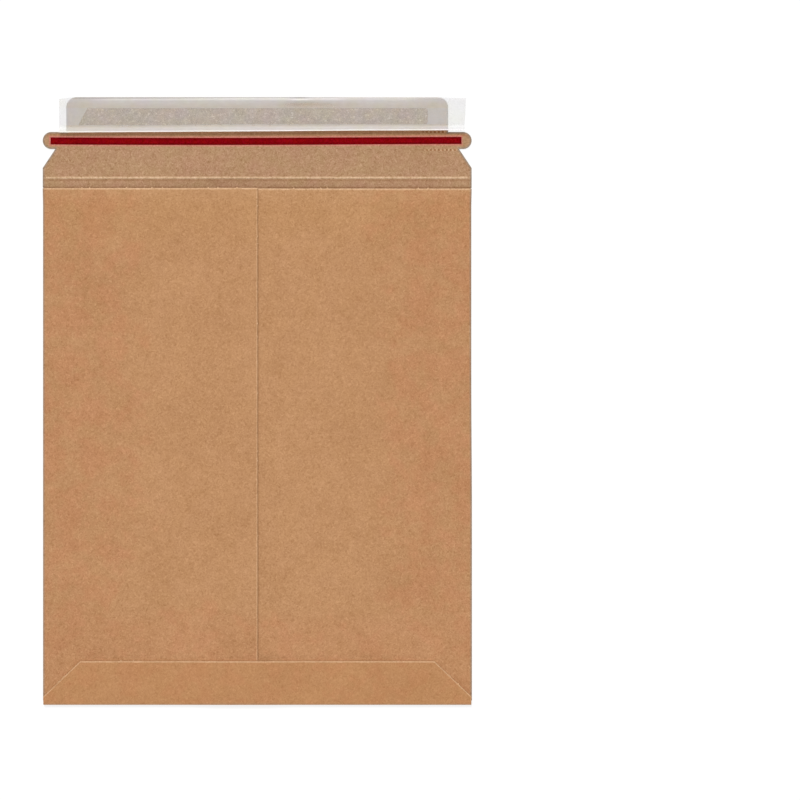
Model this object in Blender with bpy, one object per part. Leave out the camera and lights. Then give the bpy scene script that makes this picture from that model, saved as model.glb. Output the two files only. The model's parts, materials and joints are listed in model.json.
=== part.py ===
"""A rigid card mailer, lying flat on its front panel with its seam side up and its closing flap open.

The board is one die-cut sheet. Its front panel lies on the floor, two half panels fold in over it from the
sides and overlap at the middle seam, and the bottom flap folds up over both of them. The closing flap goes on
from the top of the front panel: shoulders, a tear strip between two perforations, and a seal panel with an
adhesive band under its release liner. Everything is in metres, +X across, +Y towards the flap, +Z up.
"""

import math

import bmesh
import bpy
from mathutils import Matrix

MM = 0.001

# The board and the folded body.
MAILER_WIDTH = 279.4 * MM
FRONT_HEIGHT = 342.9 * MM  # from the bottom fold to the flap's crease
BOARD = 0.7 * MM
MOUTH_SETBACK = 6.7 * MM  # from the crease down to the left half panel's cut edge
MOUTH_STAGGER = 0.5 * MM  # how much lower the right half panel was cut
FOLD_GAP = 0.3 * MM  # air between the panels beside a side fold
MOUTH_GAP = 1.2 * MM  # air in the middle of the mouth, where the empty pocket gapes most
PINCH_RUN = 130.0 * MM  # the length over which the pocket opens above the bottom flap
CORNER_RELIEF = 0.6 * MM  # slant cut where a side fold ends

# The middle seam: the left half panel climbs over the right one and ends on the centre line.
SEAM_OVERLAP = 22.0 * MM
SEAM_RAMP = 26.0 * MM
SEAM_EASE = 1.0 * MM  # level run before an edge that lies below
GLUE_GAP = 0.3 * MM  # room between two glued layers
GLUE_THICKNESS = 0.1 * MM
SEAM_GLUE_WIDTH = 12.0 * MM
SEAM_GLUE_END = 9.0 * MM  # bare board past each end of the seam's glue

# The bottom flap.
BOTTOM_FLAP_HEIGHT = 28.2 * MM
BOTTOM_FLAP_SIDE = 5.6 * MM  # straight part of its side, above the bottom fold
BOTTOM_FLAP_RUN = 24.1 * MM  # how far its slanted corner runs in from the side
BOTTOM_FLAP_INSET = 0.35 * MM  # each end stops this far short of the side fold
BOTTOM_GLUE_HEIGHT = 14.0 * MM
BOTTOM_GLUE_EDGE = 5.0 * MM  # bare board between the glue and the flap's cut edge
BOTTOM_GLUE_SIDE = 34.0 * MM  # bare board between the glue's end and the side fold

# The flap's crease, a bead inside and a groove outside, split where the flap turns.
BEAD_HALF_WIDTH = 0.95 * MM
BEAD_HEIGHT = 0.28 * MM
BEAD_FADE = 3.4 * MM  # the scoring rule stops short of the edges
CREASE_SPLIT = 0.3 * MM

# The closing flap, measured up from the crease.
SHOULDER_HEIGHT = 6.4 * MM
CHAMFER_HEIGHT = 12.0 * MM
CHAMFER_RUN = 8.0 * MM
STRIP_HEIGHT = 11.8 * MM  # from one perforation to the other
TAB_MARGIN = 0.4 * MM  # from each perforation in to the straight edge of a pull tab
SEAL_HEIGHT = 22.2 * MM
SEAL_WIDTH = 248.8 * MM
SEAL_CORNER = 6.5 * MM

# The perforations on both sides of the tear strip.
SLIT_LENGTH = 1.3 * MM
SLIT_WIDTH = 0.3 * MM
SLIT_PITCH = 2.6 * MM
SLIT_END = 2.2 * MM  # whole board between the last slit and the strip's end

# What is stuck to the flap's inner face.
FILM_REST = 0.1 * MM  # clearance under each film
TAPE_WIDTH = 4.6 * MM
TAPE_LENGTH = 267.4 * MM
TAPE_SHIFT = -0.9 * MM
TAPE_DROP = 0.3 * MM  # from the middle of the strip down to the tape's middle
TAPE_THICKNESS = 0.08 * MM
ADHESIVE_HEIGHT = 10.3 * MM
ADHESIVE_RISE = 4.7 * MM  # from the upper perforation to the adhesive's lower edge
ADHESIVE_LEFT = -116.4 * MM
ADHESIVE_RIGHT = 110.8 * MM
ADHESIVE_SLANT = 5.8 * MM  # how far the cut end of the adhesive leans
ADHESIVE_CORNER = 1.6 * MM
ADHESIVE_THICKNESS = 0.12 * MM
LINER_LENGTH = 265.0 * MM
LINER_HEIGHT = 21.65 * MM  # at its left end
LINER_DROP = 0.6 * MM  # from the upper perforation down to the liner's lower left corner
LINER_SHIFT = 3.4 * MM
LINER_THICKNESS = 0.08 * MM
LINER_END_SLANT = 1.3 * MM
LINER_TILT_LOW = 1.3 * MM  # how much higher the lower edge is at its right end
LINER_TILT_TOP = 0.65 * MM
LINER_CURL_LOW = 1.8 * MM  # how far the free margin below the adhesive stands up
LINER_CURL_TOP = 0.5 * MM

# The flap's hinge line.
CLOSED_CLEARANCE = 0.2 * MM  # between the flap's stuck films and the seam when the flap lies shut

# How finely the curves are drawn.
FOLD_STEPS = 8
ARC_STEPS = 8
BEAD_STEPS = 4
RAMP_STEPS = 5
CURL_STEPS = 5
PANEL_STEP = 24.0 * MM
SHARP_EDGE = math.radians(35)

# What follows from the sizes above.
HALF_WIDTH = MAILER_WIDTH / 2
SIDE_RADIUS = (BOARD + FOLD_GAP) / 2  # of the board's middle layer in a side fold
FOLD_X = HALF_WIDTH - SIDE_RADIUS - BOARD / 2
BACK_LEVEL = 1.5 * BOARD + FOLD_GAP  # the right half panel's middle layer, beside the fold
LAYER_STEP = BOARD + GLUE_GAP
LOWER_PERFORATION = SHOULDER_HEIGHT + CHAMFER_HEIGHT
UPPER_PERFORATION = LOWER_PERFORATION + STRIP_HEIGHT
FLAP_LENGTH = UPPER_PERFORATION + SEAL_HEIGHT
BOTTOM_Y = -(FRONT_HEIGHT + FLAP_LENGTH) / 2
CREASE_Y = BOTTOM_Y + FRONT_HEIGHT
MOUTH_Y = CREASE_Y - MOUTH_SETBACK
FLAP_TOP_Y = BOTTOM_Y + BOTTOM_FLAP_HEIGHT
TUBE_Y = BOTTOM_Y + BOTTOM_FLAP_SIDE / 2  # lowest cut edge of the half panels
FILM_Z = BOARD + FILM_REST
LINER_Z = FILM_Z + ADHESIVE_THICKNESS + FILM_REST
SEAM_TOP = 2 * BOARD + MOUTH_GAP + LAYER_STEP  # upper face of the left half panel in the mouth's middle
HINGE_Z = (LINER_Z + LINER_THICKNESS + CLOSED_CLEARANCE + SEAM_TOP) / 2

KRAFT = ("kraft_board", (0.54, 0.29, 0.14), 0.85)
GLUE = ("seam_glue", (0.72, 0.66, 0.5), 0.5)
TAPE = ("red_tape", (0.27, 0.0, 0.008), 0.4)
ADHESIVE = ("clear_adhesive", (0.5, 0.42, 0.33), 0.35)
LINER = ("release_liner", (0.8, 0.79, 0.77), 0.45)


def clear_scene():
    for obj in list(bpy.data.objects):
        bpy.data.objects.remove(obj, do_unlink=True)


def principled(recipe):
    name, colour, roughness = recipe
    made = bpy.data.materials.get(name)
    if made:
        return made
    made = bpy.data.materials.new(name)
    made.use_nodes = True
    shader = made.node_tree.nodes["Principled BSDF"]
    shader.inputs["Base Color"].default_value = (*colour, 1.0)
    shader.inputs["Roughness"].default_value = roughness
    shader.inputs["Metallic"].default_value = 0.0
    return made


def thicken(obj, thickness):
    """Gives a sheet's middle layer its thickness, half to each side, and keeps the result as the mesh."""
    board = obj.modifiers.new("board", "SOLIDIFY")
    board.thickness = thickness
    board.offset = 0.0
    board.use_even_offset = True
    board.use_quality_normals = True
    solid = bpy.data.meshes.new_from_object(obj.evaluated_get(bpy.context.evaluated_depsgraph_get()))
    obj.modifiers.clear()
    obj.data = solid


def finish(name, bm, recipe, thickness=None):
    """A named object from a bmesh. With a thickness, the mesh is a sheet's middle layer."""
    bmesh.ops.recalc_face_normals(bm, faces=bm.faces)
    mesh = bpy.data.meshes.new(name)
    bm.to_mesh(mesh)
    bm.free()
    mesh.materials.append(principled(recipe))
    obj = bpy.data.objects.new(name, mesh)
    bpy.context.scene.collection.objects.link(obj)
    if thickness:
        thicken(obj, thickness)
    obj.data.shade_smooth()
    obj.data.set_sharp_from_angle(angle=SHARP_EDGE)
    return obj


def smooth(share):
    """0 to 1 with level ends."""
    share = min(1.0, max(0.0, share))
    return share * share * (3 - 2 * share)


def spaced(stops, step):
    """The stops, with each stretch between two of them divided into equal parts no longer than step."""
    found = [stops[0]]
    for low, high in zip(stops, stops[1:]):
        parts = max(1, math.ceil(abs(high - low) / step - 1e-6))
        found += [low + (high - low) * (n + 1) / parts for n in range(parts)]
    return found


def add_grid(bm, rows):
    """Faces between each row of vertices and the next."""
    for lower, upper in zip(rows, rows[1:]):
        for a, b, c, d in zip(lower, lower[1:], upper[1:], upper):
            bm.faces.new((a, b, c, d))


def pocket_gap(x, y):
    """Air between the front panel and the half panels: pinched at the folds and under the bottom flap."""
    across = 1 - min(1.0, abs(x) / FOLD_X) ** 2
    along = smooth((y - FLAP_TOP_Y) / PINCH_RUN)
    return FOLD_GAP + (MOUTH_GAP - FOLD_GAP) * across * along


def seam_step(x):
    """How far the left half panel has climbed on to the right one."""
    start = -(SEAM_OVERLAP + SEAM_EASE + SEAM_RAMP)
    return LAYER_STEP * smooth((x - start) / SEAM_RAMP)


def under_level(x, y):
    """Middle layer of the right half panel."""
    return 1.5 * BOARD + pocket_gap(x, y)


def over_level(x, y):
    """Middle layer of the left half panel."""
    return under_level(x, y) + seam_step(x)


def bottom_flap_level(x):
    """Middle layer of the bottom flap, which lies over the seam and comes down again beside it."""
    down = 1 - smooth((x - SEAM_EASE) / SEAM_RAMP)
    return BACK_LEVEL + LAYER_STEP + min(seam_step(x), LAYER_STEP * down)


def mouth_y(x):
    """Height of the half panels' cut edges. The front panel's row there slants from one to the other."""
    share = (x / FOLD_X + 1) / 2
    return MOUTH_Y - MOUTH_STAGGER * min(1.0, max(0.0, share))


def fold_arc(side, start, end):
    """Points (x, z) round a side fold's middle layer, from angle start to end, ends left out."""
    middle = BOARD / 2 + SIDE_RADIUS
    for n in range(1, FOLD_STEPS):
        angle = start + (end - start) * n / FOLD_STEPS
        yield side * (FOLD_X + SIDE_RADIUS * math.cos(angle)), middle + SIDE_RADIUS * math.sin(angle)


def ramp_stops(start, end):
    return [start + (end - start) * n / RAMP_STEPS for n in range(RAMP_STEPS + 1)]


def front_columns():
    """The x of every column of the front panel between the side folds, from +X to -X."""
    slant = HALF_WIDTH - BOTTOM_FLAP_INSET - BOTTOM_FLAP_RUN
    left_ramp = ramp_stops(-(SEAM_OVERLAP + SEAM_EASE + SEAM_RAMP), -(SEAM_OVERLAP + SEAM_EASE))
    right_ramp = ramp_stops(SEAM_EASE, SEAM_EASE + SEAM_RAMP)
    faded = HALF_WIDTH - BEAD_FADE
    return spaced([-FOLD_X, -faded, -slant, *left_ramp, *right_ramp, slant, faded, FOLD_X], PANEL_STEP)[::-1]


def tube_stations():
    """(x, height at y, mouth height) of every point round the body's section, and where the front begins."""
    right_fold_y, left_fold_y = mouth_y(FOLD_X), mouth_y(-FOLD_X)
    stations = [(x, lambda y, x=x: under_level(x, y), right_fold_y)
                for x in spaced([-SEAM_OVERLAP, 0.0, FOLD_X], PANEL_STEP)]
    stations += [(x, lambda y, z=z: z, right_fold_y)
                 for x, z in fold_arc(1, math.pi / 2, -math.pi / 2)]
    first = len(stations)
    stations += [(x, lambda y: BOARD / 2, mouth_y(x)) for x in front_columns()]
    last = len(stations)
    stations += [(x, lambda y, z=z: z, left_fold_y)
                 for x, z in fold_arc(-1, -math.pi / 2, math.pi / 2)]
    ramp = ramp_stops(-(SEAM_OVERLAP + SEAM_EASE + SEAM_RAMP), -(SEAM_OVERLAP + SEAM_EASE))
    stations += [(x, lambda y, x=x: over_level(x, y), left_fold_y)
                 for x in spaced([-FOLD_X, *ramp, 0.0], PANEL_STEP)]
    return stations, first, last


def add_tube(bm):
    """Front panel, side folds and half panels. Returns the front panel's lowest and highest rows."""
    stations, first, last = tube_stations()
    rows = []
    for y in spaced([TUBE_Y, FLAP_TOP_Y, FLAP_TOP_Y + PINCH_RUN, MOUTH_Y], PANEL_STEP):
        share = (y - TUBE_Y) / (MOUTH_Y - TUBE_Y)
        rows.append([])
        for x, level, top in stations:
            height = TUBE_Y + (top - TUBE_Y) * share
            rows[-1].append(bm.verts.new((x, height, level(height))))
    add_grid(bm, rows)
    return rows[0][first:last], rows[-1][first:last]


def bottom_flap_top(x):
    """The y of the bottom flap's cut edge, level in the middle and slanted at the corners."""
    end = HALF_WIDTH - BOTTOM_FLAP_INSET
    share = (end - abs(x)) / BOTTOM_FLAP_RUN
    return BOTTOM_Y + BOTTOM_FLAP_SIDE + (BOTTOM_FLAP_HEIGHT - BOTTOM_FLAP_SIDE) * min(1.0, max(0.0, share))


def add_bottom_flap(bm, front_row):
    """The front panel's last stretch, the bottom fold and the flap that lies on the half panels."""
    end = HALF_WIDTH - BOTTOM_FLAP_INSET
    start = [bm.verts.new((side * end, TUBE_Y - CORNER_RELIEF, BOARD / 2)) for side in (1, -1)]
    rows = [[start[0], *front_row, start[1]]]
    columns = [vertex.co.x for vertex in rows[0]]
    for n in range(FOLD_STEPS + 1):
        angle = math.pi * n / FOLD_STEPS
        rows.append([])
        for x in columns:
            radius = (bottom_flap_level(x) - BOARD / 2) / 2
            y = BOTTOM_Y + BOARD / 2 + radius - radius * math.sin(angle)
            rows[-1].append(bm.verts.new((x, y, BOARD / 2 + radius - radius * math.cos(angle))))
    fold_row = rows[-1]
    for share in (0.5, 1.0):
        rows.append([])
        for x, low in zip(columns, fold_row):
            y = low.co.y + (bottom_flap_top(x) - low.co.y) * share
            rows[-1].append(bm.verts.new((x, y, bottom_flap_level(x))))
    add_grid(bm, rows)


def bead_level(x, y):
    """Middle layer near the crease: a rounded bead that fades before the edges."""
    fade = smooth((HALF_WIDTH - abs(x)) / BEAD_FADE)
    offset = min(1.0, abs(y - CREASE_Y) / BEAD_HALF_WIDTH)
    return BOARD / 2 + BEAD_HEIGHT * fade * math.cos(offset * math.pi / 2) ** 2


def bead_rows(side):
    """The y of each row across half of the bead, from its outer foot to the split."""
    foot, split = BEAD_HALF_WIDTH, CREASE_SPLIT / 2
    return [CREASE_Y + side * (foot + (split - foot) * n / BEAD_STEPS) for n in range(BEAD_STEPS + 1)]


def add_front_top(bm, mouth_row):
    """The strip of the front panel that shows above the mouth, up to the middle of the crease."""
    ends = [bm.verts.new((side * HALF_WIDTH, mouth_y(side * FOLD_X) + CORNER_RELIEF, BOARD / 2))
            for side in (1, -1)]
    rows = [[ends[0], *mouth_row, ends[1]]]
    columns = [vertex.co.x for vertex in rows[0]]
    for y in bead_rows(-1):
        rows.append([bm.verts.new((x, y, bead_level(x, y))) for x in columns])
    add_grid(bm, rows)


def make_body():
    bm = bmesh.new()
    bottom_row, mouth_row = add_tube(bm)
    add_bottom_flap(bm, bottom_row)
    add_front_top(bm, mouth_row)
    return finish("mailer_body", bm, KRAFT, BOARD)


def arc(centre, radius, start, end, steps=ARC_STEPS):
    """Points (x, y) round an arc, both ends included, angles in degrees."""
    turn = [math.radians(start + (end - start) * n / steps) for n in range(steps + 1)]
    return [(centre[0] + radius * math.cos(a), centre[1] + radius * math.sin(a)) for a in turn]


def flap_right_side():
    """The closing flap's right edge, from the bead's foot up to the seal panel's top corner."""
    tab = STRIP_HEIGHT / 2 - TAB_MARGIN
    lower, upper = CREASE_Y + LOWER_PERFORATION, CREASE_Y + UPPER_PERFORATION
    corner = (SEAL_WIDTH / 2 - SEAL_CORNER, upper + SEAL_HEIGHT - SEAL_CORNER)
    neck_x = HALF_WIDTH - CHAMFER_RUN
    return [
        (HALF_WIDTH, CREASE_Y + SHOULDER_HEIGHT),
        (neck_x, lower),
        (neck_x, lower + TAB_MARGIN),
        *arc((HALF_WIDTH - tab, (lower + upper) / 2), tab, -90, 90, 2 * ARC_STEPS),
        (SEAL_WIDTH / 2, upper - TAB_MARGIN),
        *arc(corner, SEAL_CORNER, 0, 90),
    ]


def slit_centres(half_length):
    """The x of each slit along a perforation, centred, at the pitch."""
    count = int((2 * (half_length - SLIT_END) - SLIT_LENGTH) // SLIT_PITCH) + 1
    return [(n - (count - 1) / 2) * SLIT_PITCH for n in range(count)]


def slit_loops():
    """The four corners of every slit in the two perforations."""
    perforations = (
        (CREASE_Y + LOWER_PERFORATION, HALF_WIDTH - CHAMFER_RUN),
        (CREASE_Y + UPPER_PERFORATION, SEAL_WIDTH / 2),
    )
    long, wide = SLIT_LENGTH / 2, SLIT_WIDTH / 2
    for y, half_length in perforations:
        for x in slit_centres(half_length):
            yield [(x - long, y - wide), (x + long, y - wide), (x + long, y + wide), (x - long, y + wide)]


def loop_edges(bm, vertices):
    return [bm.edges.new((a, b)) for a, b in zip(vertices, vertices[1:] + vertices[:1])]


def make_flap():
    """Half of the crease's bead, then one flat sheet with the perforations cut out of it."""
    bm = bmesh.new()
    faded = HALF_WIDTH - BEAD_FADE
    columns = spaced([-HALF_WIDTH, -HALF_WIDTH + BEAD_FADE / 2, -faded, faded,
                      HALF_WIDTH - BEAD_FADE / 2, HALF_WIDTH], MAILER_WIDTH)
    rows = [[bm.verts.new((x, y, bead_level(x, y))) for x in columns] for y in bead_rows(1)]
    add_grid(bm, rows)
    right = flap_right_side()
    left = [(-x, y) for x, y in reversed(right)]
    outline = rows[0] + [bm.verts.new((x, y, BOARD / 2)) for x, y in right + left]
    edges = [bm.edges.get(pair) or bm.edges.new(pair) for pair in zip(outline, outline[1:] + outline[:1])]
    for corners in slit_loops():
        edges += loop_edges(bm, [bm.verts.new((x, y, BOARD / 2)) for x, y in corners])
    bmesh.ops.triangle_fill(bm, edges=edges, use_beauty=True, normal=(0, 0, 1))
    return finish("closing_flap", bm, KRAFT, BOARD)


def slab(name, outline, base, thickness, recipe):
    """A flat piece: an outline drawn at the height of its base and pulled up."""
    bm = bmesh.new()
    face = bm.faces.new([bm.verts.new((x, y, base)) for x, y in outline])
    pulled = bmesh.ops.extrude_face_region(bm, geom=[face])
    top = [item for item in pulled["geom"] if isinstance(item, bmesh.types.BMVert)]
    bmesh.ops.translate(bm, verts=top, vec=(0, 0, thickness))
    return finish(name, bm, recipe)


def make_tape():
    middle = CREASE_Y + LOWER_PERFORATION + STRIP_HEIGHT / 2 - TAPE_DROP
    low, high = middle - TAPE_WIDTH / 2, middle + TAPE_WIDTH / 2
    left, right = TAPE_SHIFT - TAPE_LENGTH / 2, TAPE_SHIFT + TAPE_LENGTH / 2
    outline = [(left, low), (right, low), (right, high), (left, high)]
    return slab("tear_tape", outline, FILM_Z, TAPE_THICKNESS, TAPE)


def make_adhesive():
    """A band whose left end was cut on a slant and whose right corners are round."""
    low = CREASE_Y + UPPER_PERFORATION + ADHESIVE_RISE
    high = low + ADHESIVE_HEIGHT
    inner = ADHESIVE_RIGHT - ADHESIVE_CORNER
    outline = [
        (ADHESIVE_LEFT, low),
        *arc((inner, low + ADHESIVE_CORNER), ADHESIVE_CORNER, -90, 0, 4),
        *arc((inner, high - ADHESIVE_CORNER), ADHESIVE_CORNER, 0, 90, 4),
        (ADHESIVE_LEFT + ADHESIVE_SLANT, high),
    ]
    return slab("seal_adhesive", outline, FILM_Z, ADHESIVE_THICKNESS, ADHESIVE)


def liner_profile(low, high):
    """(y, rise) across the liner, from its lower edge, which stands up, to its upper one."""
    stuck_low = CREASE_Y + UPPER_PERFORATION + ADHESIVE_RISE
    stuck_high = stuck_low + ADHESIVE_HEIGHT
    turn = [n / CURL_STEPS for n in range(CURL_STEPS + 1)]
    lower = [(stuck_low + (low - stuck_low) * t, LINER_CURL_LOW * t ** 2) for t in reversed(turn)]
    upper = [(stuck_high + (high - stuck_high) * t, LINER_CURL_TOP * t ** 2) for t in turn]
    return lower + upper


def make_liner():
    """The release liner: stuck flat along the adhesive, with both of its free margins curling up."""
    left, right = LINER_SHIFT - LINER_LENGTH / 2, LINER_SHIFT + LINER_LENGTH / 2
    corner_y = CREASE_Y + UPPER_PERFORATION - LINER_DROP
    columns = []
    for share in (0.0, 0.5, 1.0):
        low = corner_y + LINER_TILT_LOW * share
        high = corner_y + LINER_HEIGHT + LINER_TILT_TOP * share
        columns.append([])
        for y, rise in liner_profile(low, high):
            slant = LINER_END_SLANT * share * (high - y) / (high - low)
            columns[-1].append((left + (right - left) * share - slant, y, rise))
    bm = bmesh.new()
    middle = LINER_Z + LINER_THICKNESS / 2
    rows = [[bm.verts.new((x, y, middle + rise)) for x, y, rise in row] for row in zip(*columns)]
    add_grid(bm, rows)
    return finish("release_liner", bm, LINER, LINER_THICKNESS)


def make_seam_glue():
    """A band of glue in the overlap, midway between the two layers of board."""
    middle = -SEAM_OVERLAP / 2
    columns = [middle - SEAM_GLUE_WIDTH / 2, middle, middle + SEAM_GLUE_WIDTH / 2]
    rows = spaced([TUBE_Y + SEAM_GLUE_END, FLAP_TOP_Y, FLAP_TOP_Y + PINCH_RUN, MOUTH_Y - SEAM_GLUE_END],
                  PANEL_STEP)
    bm = bmesh.new()
    add_grid(bm, [[bm.verts.new((x, y, under_level(x, y) + LAYER_STEP / 2)) for x in columns] for y in rows])
    return finish("seam_glue", bm, GLUE, GLUE_THICKNESS)


def make_bottom_glue():
    """A band of glue on the inside of the bottom flap, which it follows over the seam."""
    end = HALF_WIDTH - BOTTOM_GLUE_SIDE
    high = FLAP_TOP_Y - BOTTOM_GLUE_EDGE
    columns = [x for x in front_columns() if abs(x) < end]
    columns = [end, *columns, -end]
    bm = bmesh.new()
    rows = [[bm.verts.new((x, y, bottom_flap_level(x) - LAYER_STEP / 2)) for x in columns]
            for y in (high - BOTTOM_GLUE_HEIGHT, high)]
    add_grid(bm, rows)
    return finish("bottom_flap_glue", bm, GLUE, GLUE_THICKNESS)


def make_hinge(pieces):
    """An empty on the line that the flap turns about, level with the middle of the shut mailer's edge."""
    hinge = bpy.data.objects.new("flap_hinge_line", None)
    hinge.location = (0, CREASE_Y, HINGE_Z)
    bpy.context.scene.collection.objects.link(hinge)
    for piece in pieces:
        piece.parent = hinge
        piece.matrix_parent_inverse = Matrix.Translation(-hinge.location)


def main():
    clear_scene()
    make_body()
    make_seam_glue()
    make_bottom_glue()
    make_hinge([make_flap(), make_tape(), make_adhesive(), make_liner()])


main()
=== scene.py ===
"""The looks of a rigid card mailer that lies on its front panel with its closing flap open.

The board is drawn again as one continuous sheet, from the seam's hidden edge round both side folds, up over
the bottom flap and out along the closing flap, so that nothing parts at the crease when the flap turns. Every
point of the sheet also knows where it lay on the flat blank, and the board's paint and relief are drawn there.
Lengths are in metres, +X across, +Y towards the flap, +Z up from the floor.
"""

import json
import math
from collections import namedtuple

import bmesh
import bpy
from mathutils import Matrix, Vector
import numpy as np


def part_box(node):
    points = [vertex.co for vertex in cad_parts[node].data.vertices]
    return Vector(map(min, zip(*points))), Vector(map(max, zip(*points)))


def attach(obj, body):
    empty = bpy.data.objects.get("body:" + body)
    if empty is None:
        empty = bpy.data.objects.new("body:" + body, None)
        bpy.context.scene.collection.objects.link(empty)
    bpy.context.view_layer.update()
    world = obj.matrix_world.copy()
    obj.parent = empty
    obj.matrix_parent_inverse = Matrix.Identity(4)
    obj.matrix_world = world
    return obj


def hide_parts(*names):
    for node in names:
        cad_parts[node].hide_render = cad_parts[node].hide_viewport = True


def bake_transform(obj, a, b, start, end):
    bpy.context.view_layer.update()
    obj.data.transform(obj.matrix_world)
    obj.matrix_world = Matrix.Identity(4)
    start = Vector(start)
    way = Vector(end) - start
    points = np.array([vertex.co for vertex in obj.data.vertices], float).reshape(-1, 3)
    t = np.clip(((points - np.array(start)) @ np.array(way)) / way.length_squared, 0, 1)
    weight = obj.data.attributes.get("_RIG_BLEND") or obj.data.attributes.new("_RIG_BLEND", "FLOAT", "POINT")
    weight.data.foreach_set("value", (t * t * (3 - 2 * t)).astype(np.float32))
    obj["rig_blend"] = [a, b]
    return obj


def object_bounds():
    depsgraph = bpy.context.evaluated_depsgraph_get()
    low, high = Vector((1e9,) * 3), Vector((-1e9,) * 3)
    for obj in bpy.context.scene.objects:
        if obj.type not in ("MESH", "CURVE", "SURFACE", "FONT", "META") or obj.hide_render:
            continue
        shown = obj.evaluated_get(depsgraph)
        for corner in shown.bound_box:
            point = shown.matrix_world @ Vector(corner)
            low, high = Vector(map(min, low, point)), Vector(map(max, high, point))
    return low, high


MM = 0.001

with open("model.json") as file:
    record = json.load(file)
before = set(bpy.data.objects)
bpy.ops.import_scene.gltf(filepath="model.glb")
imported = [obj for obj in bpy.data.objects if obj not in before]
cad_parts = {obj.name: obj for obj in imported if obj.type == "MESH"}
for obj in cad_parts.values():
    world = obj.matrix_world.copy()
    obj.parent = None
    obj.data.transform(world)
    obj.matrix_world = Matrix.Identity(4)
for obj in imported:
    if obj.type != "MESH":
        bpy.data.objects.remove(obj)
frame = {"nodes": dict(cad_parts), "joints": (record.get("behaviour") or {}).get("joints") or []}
cad_low, cad_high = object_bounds()
body_low, body_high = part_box("mailer_body")
flap_low, flap_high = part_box("closing_flap")
tape_low, tape_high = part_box("tear_tape")
adhesive_low, adhesive_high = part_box("seal_adhesive")
liner_low, liner_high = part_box("release_liner")
hinge = Vector(frame["joints"][0]["pos_m"])

# The board and the folded body, as in the frame's own pieces.
BOARD = 0.7 * MM
HALF_WIDTH = 139.7 * MM
MOUTH_SETBACK = 6.7 * MM
MOUTH_STAGGER = 0.35 * MM
FOLD_GAP = 0.3 * MM
MOUTH_GAP = 1.2 * MM
PINCH_RUN = 130.0 * MM
LEFT_INSET = 0.25 * MM  # how far each side edge stands in from the box: on the body, then on the closing flap
RIGHT_INSET_LOW = 0.15 * MM
RIGHT_INSET_HIGH = 0.55 * MM
RIGHT_INSET_FLAP = 0.3 * MM
INSET_FADE = 12.0 * MM
CORNER_RELIEF = 0.6 * MM
SEAM_OVERLAP = 22.0 * MM
SEAM_RAMP = 26.0 * MM
SEAM_EASE = 1.0 * MM
GLUE_GAP = 0.3 * MM
BOTTOM_FLAP_HEIGHT = 28.6 * MM  # 0.4 mm more than the solid's, for the photograph's line
BOTTOM_FLAP_SIDE = 5.6 * MM
BOTTOM_FLAP_RUN = 24.1 * MM
BOTTOM_FLAP_INSET = 0.35 * MM
BEAD_HALF_WIDTH = 0.95 * MM
BEAD_HEIGHT = 0.28 * MM
BEAD_FADE = 3.4 * MM
CREST_OFFSET = 0.0  # the rubbed pale line and painted highlight on the bead, as shares of its half width
CREST_REACH = 0.85
FOOT_SHADE_RISE = 0.4 * MM  # the dim line below the bead, down from the crease
FOOT_SHADE_PEAK = 1.6 * MM
FOOT_SHADE_END = 2.6 * MM

# The closing flap, measured up from the crease.
SHOULDER_HEIGHT = 6.4 * MM
LOWER_PERFORATION = 18.4 * MM
UPPER_PERFORATION = 30.2 * MM
CHAMFER_RUN = 8.0 * MM
TAB_MARGIN = 0.4 * MM
SEAL_HEIGHT = 22.2 * MM
SEAL_WIDTH = 248.8 * MM
SEAL_CORNER = 6.5 * MM

# The perforations: hairline cuts that have pulled open towards the right end.
SLIT_LENGTH = 1.3 * MM
SLIT_PITCH = 2.6 * MM
SLIT_END = 2.2 * MM
SLIT_CLOSED = 0.03 * MM
SLIT_OPEN = 0.045 * MM
SLIT_OPENS_AT = 106.0 * MM
SLIT_OPENS_OVER = 6.0 * MM
CUT_DROP = 0.35 * MM  # how far below its slit each dark cut is painted, as painted shade on its lower lip
CUT_HALF = 0.35 * MM

# The cut edges: a thin crushed border, paler on the outer face, where it is partly rubbed pale and partly painted
# highlight, with painted shade along the outline and beside the steps, and small nicks where the blank was held.
BEVEL = 0.14 * MM
BEVEL_STEPS = 2
PALE_CORE = 0.8 * MM
PALE_EDGE = 1.3 * MM
PALE_REACH = 32.0 * MM  # how far a faint rest of it goes down from the mouth
PALE_REST = 0.12
DULL_CORE = 0.85 * MM
DULL_REST = 0.7  # how much painted shade the closing flap's outline still has there
DULL_EDGE = 1.5 * MM
SEAM_PALENESS = 0.5
# painted shade along the side folds, which turn away from the light, and how far in from them it reaches
FOLD_EDGE_SHADE = 0.6
FOLD_DULL_REACH = 0.7 * MM
SEAM_EDGE_X = 0.33 * MM
SEAM_PALE_CORE = 0.35 * MM
SEAM_PALE_EDGE = 0.8 * MM
SEAM_SHADE = 0.34  # the dim line beside the seam: how dim, where it is dimmest, and where it ends
SEAM_SHADE_PEAK = 0.85 * MM
SEAM_SHADE_REACH = 1.3 * MM
SEAM_FOOT_PAINTED_LIGHT = 0.3  # painted light in the corner under the seam's edge, which lifts the shade there
MOUTH_SHADE = 0.9
MOUTH_SHADE_HOLD = 0.6 * MM
MOUTH_SHADE_REACH = 1.25 * MM
STEP_PAINTED_LIGHT = 0.08  # painted light: how much paler the body is just above the bottom flap's edge, offsetting the shadow there, and how far up that goes
STEP_PAINTED_LIGHT_REACH = 2.4 * MM
WARM_STRIP = 1.4 * MM  # half the height of the strip that the liner's curled margin shades
FLAP_PALENESS = 0.7
FLAP_PALE_CORE = 0.8 * MM
FLAP_PALE_EDGE = 1.2 * MM
FOLD_PAINTED_LIGHT = 0.6  # painted light along the bottom fold, which turns away from the light
NICK_HALF = 0.7 * MM
NICK_HEIGHT = 0.75 * MM
NICK_LIFT = 0.12 * MM
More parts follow.
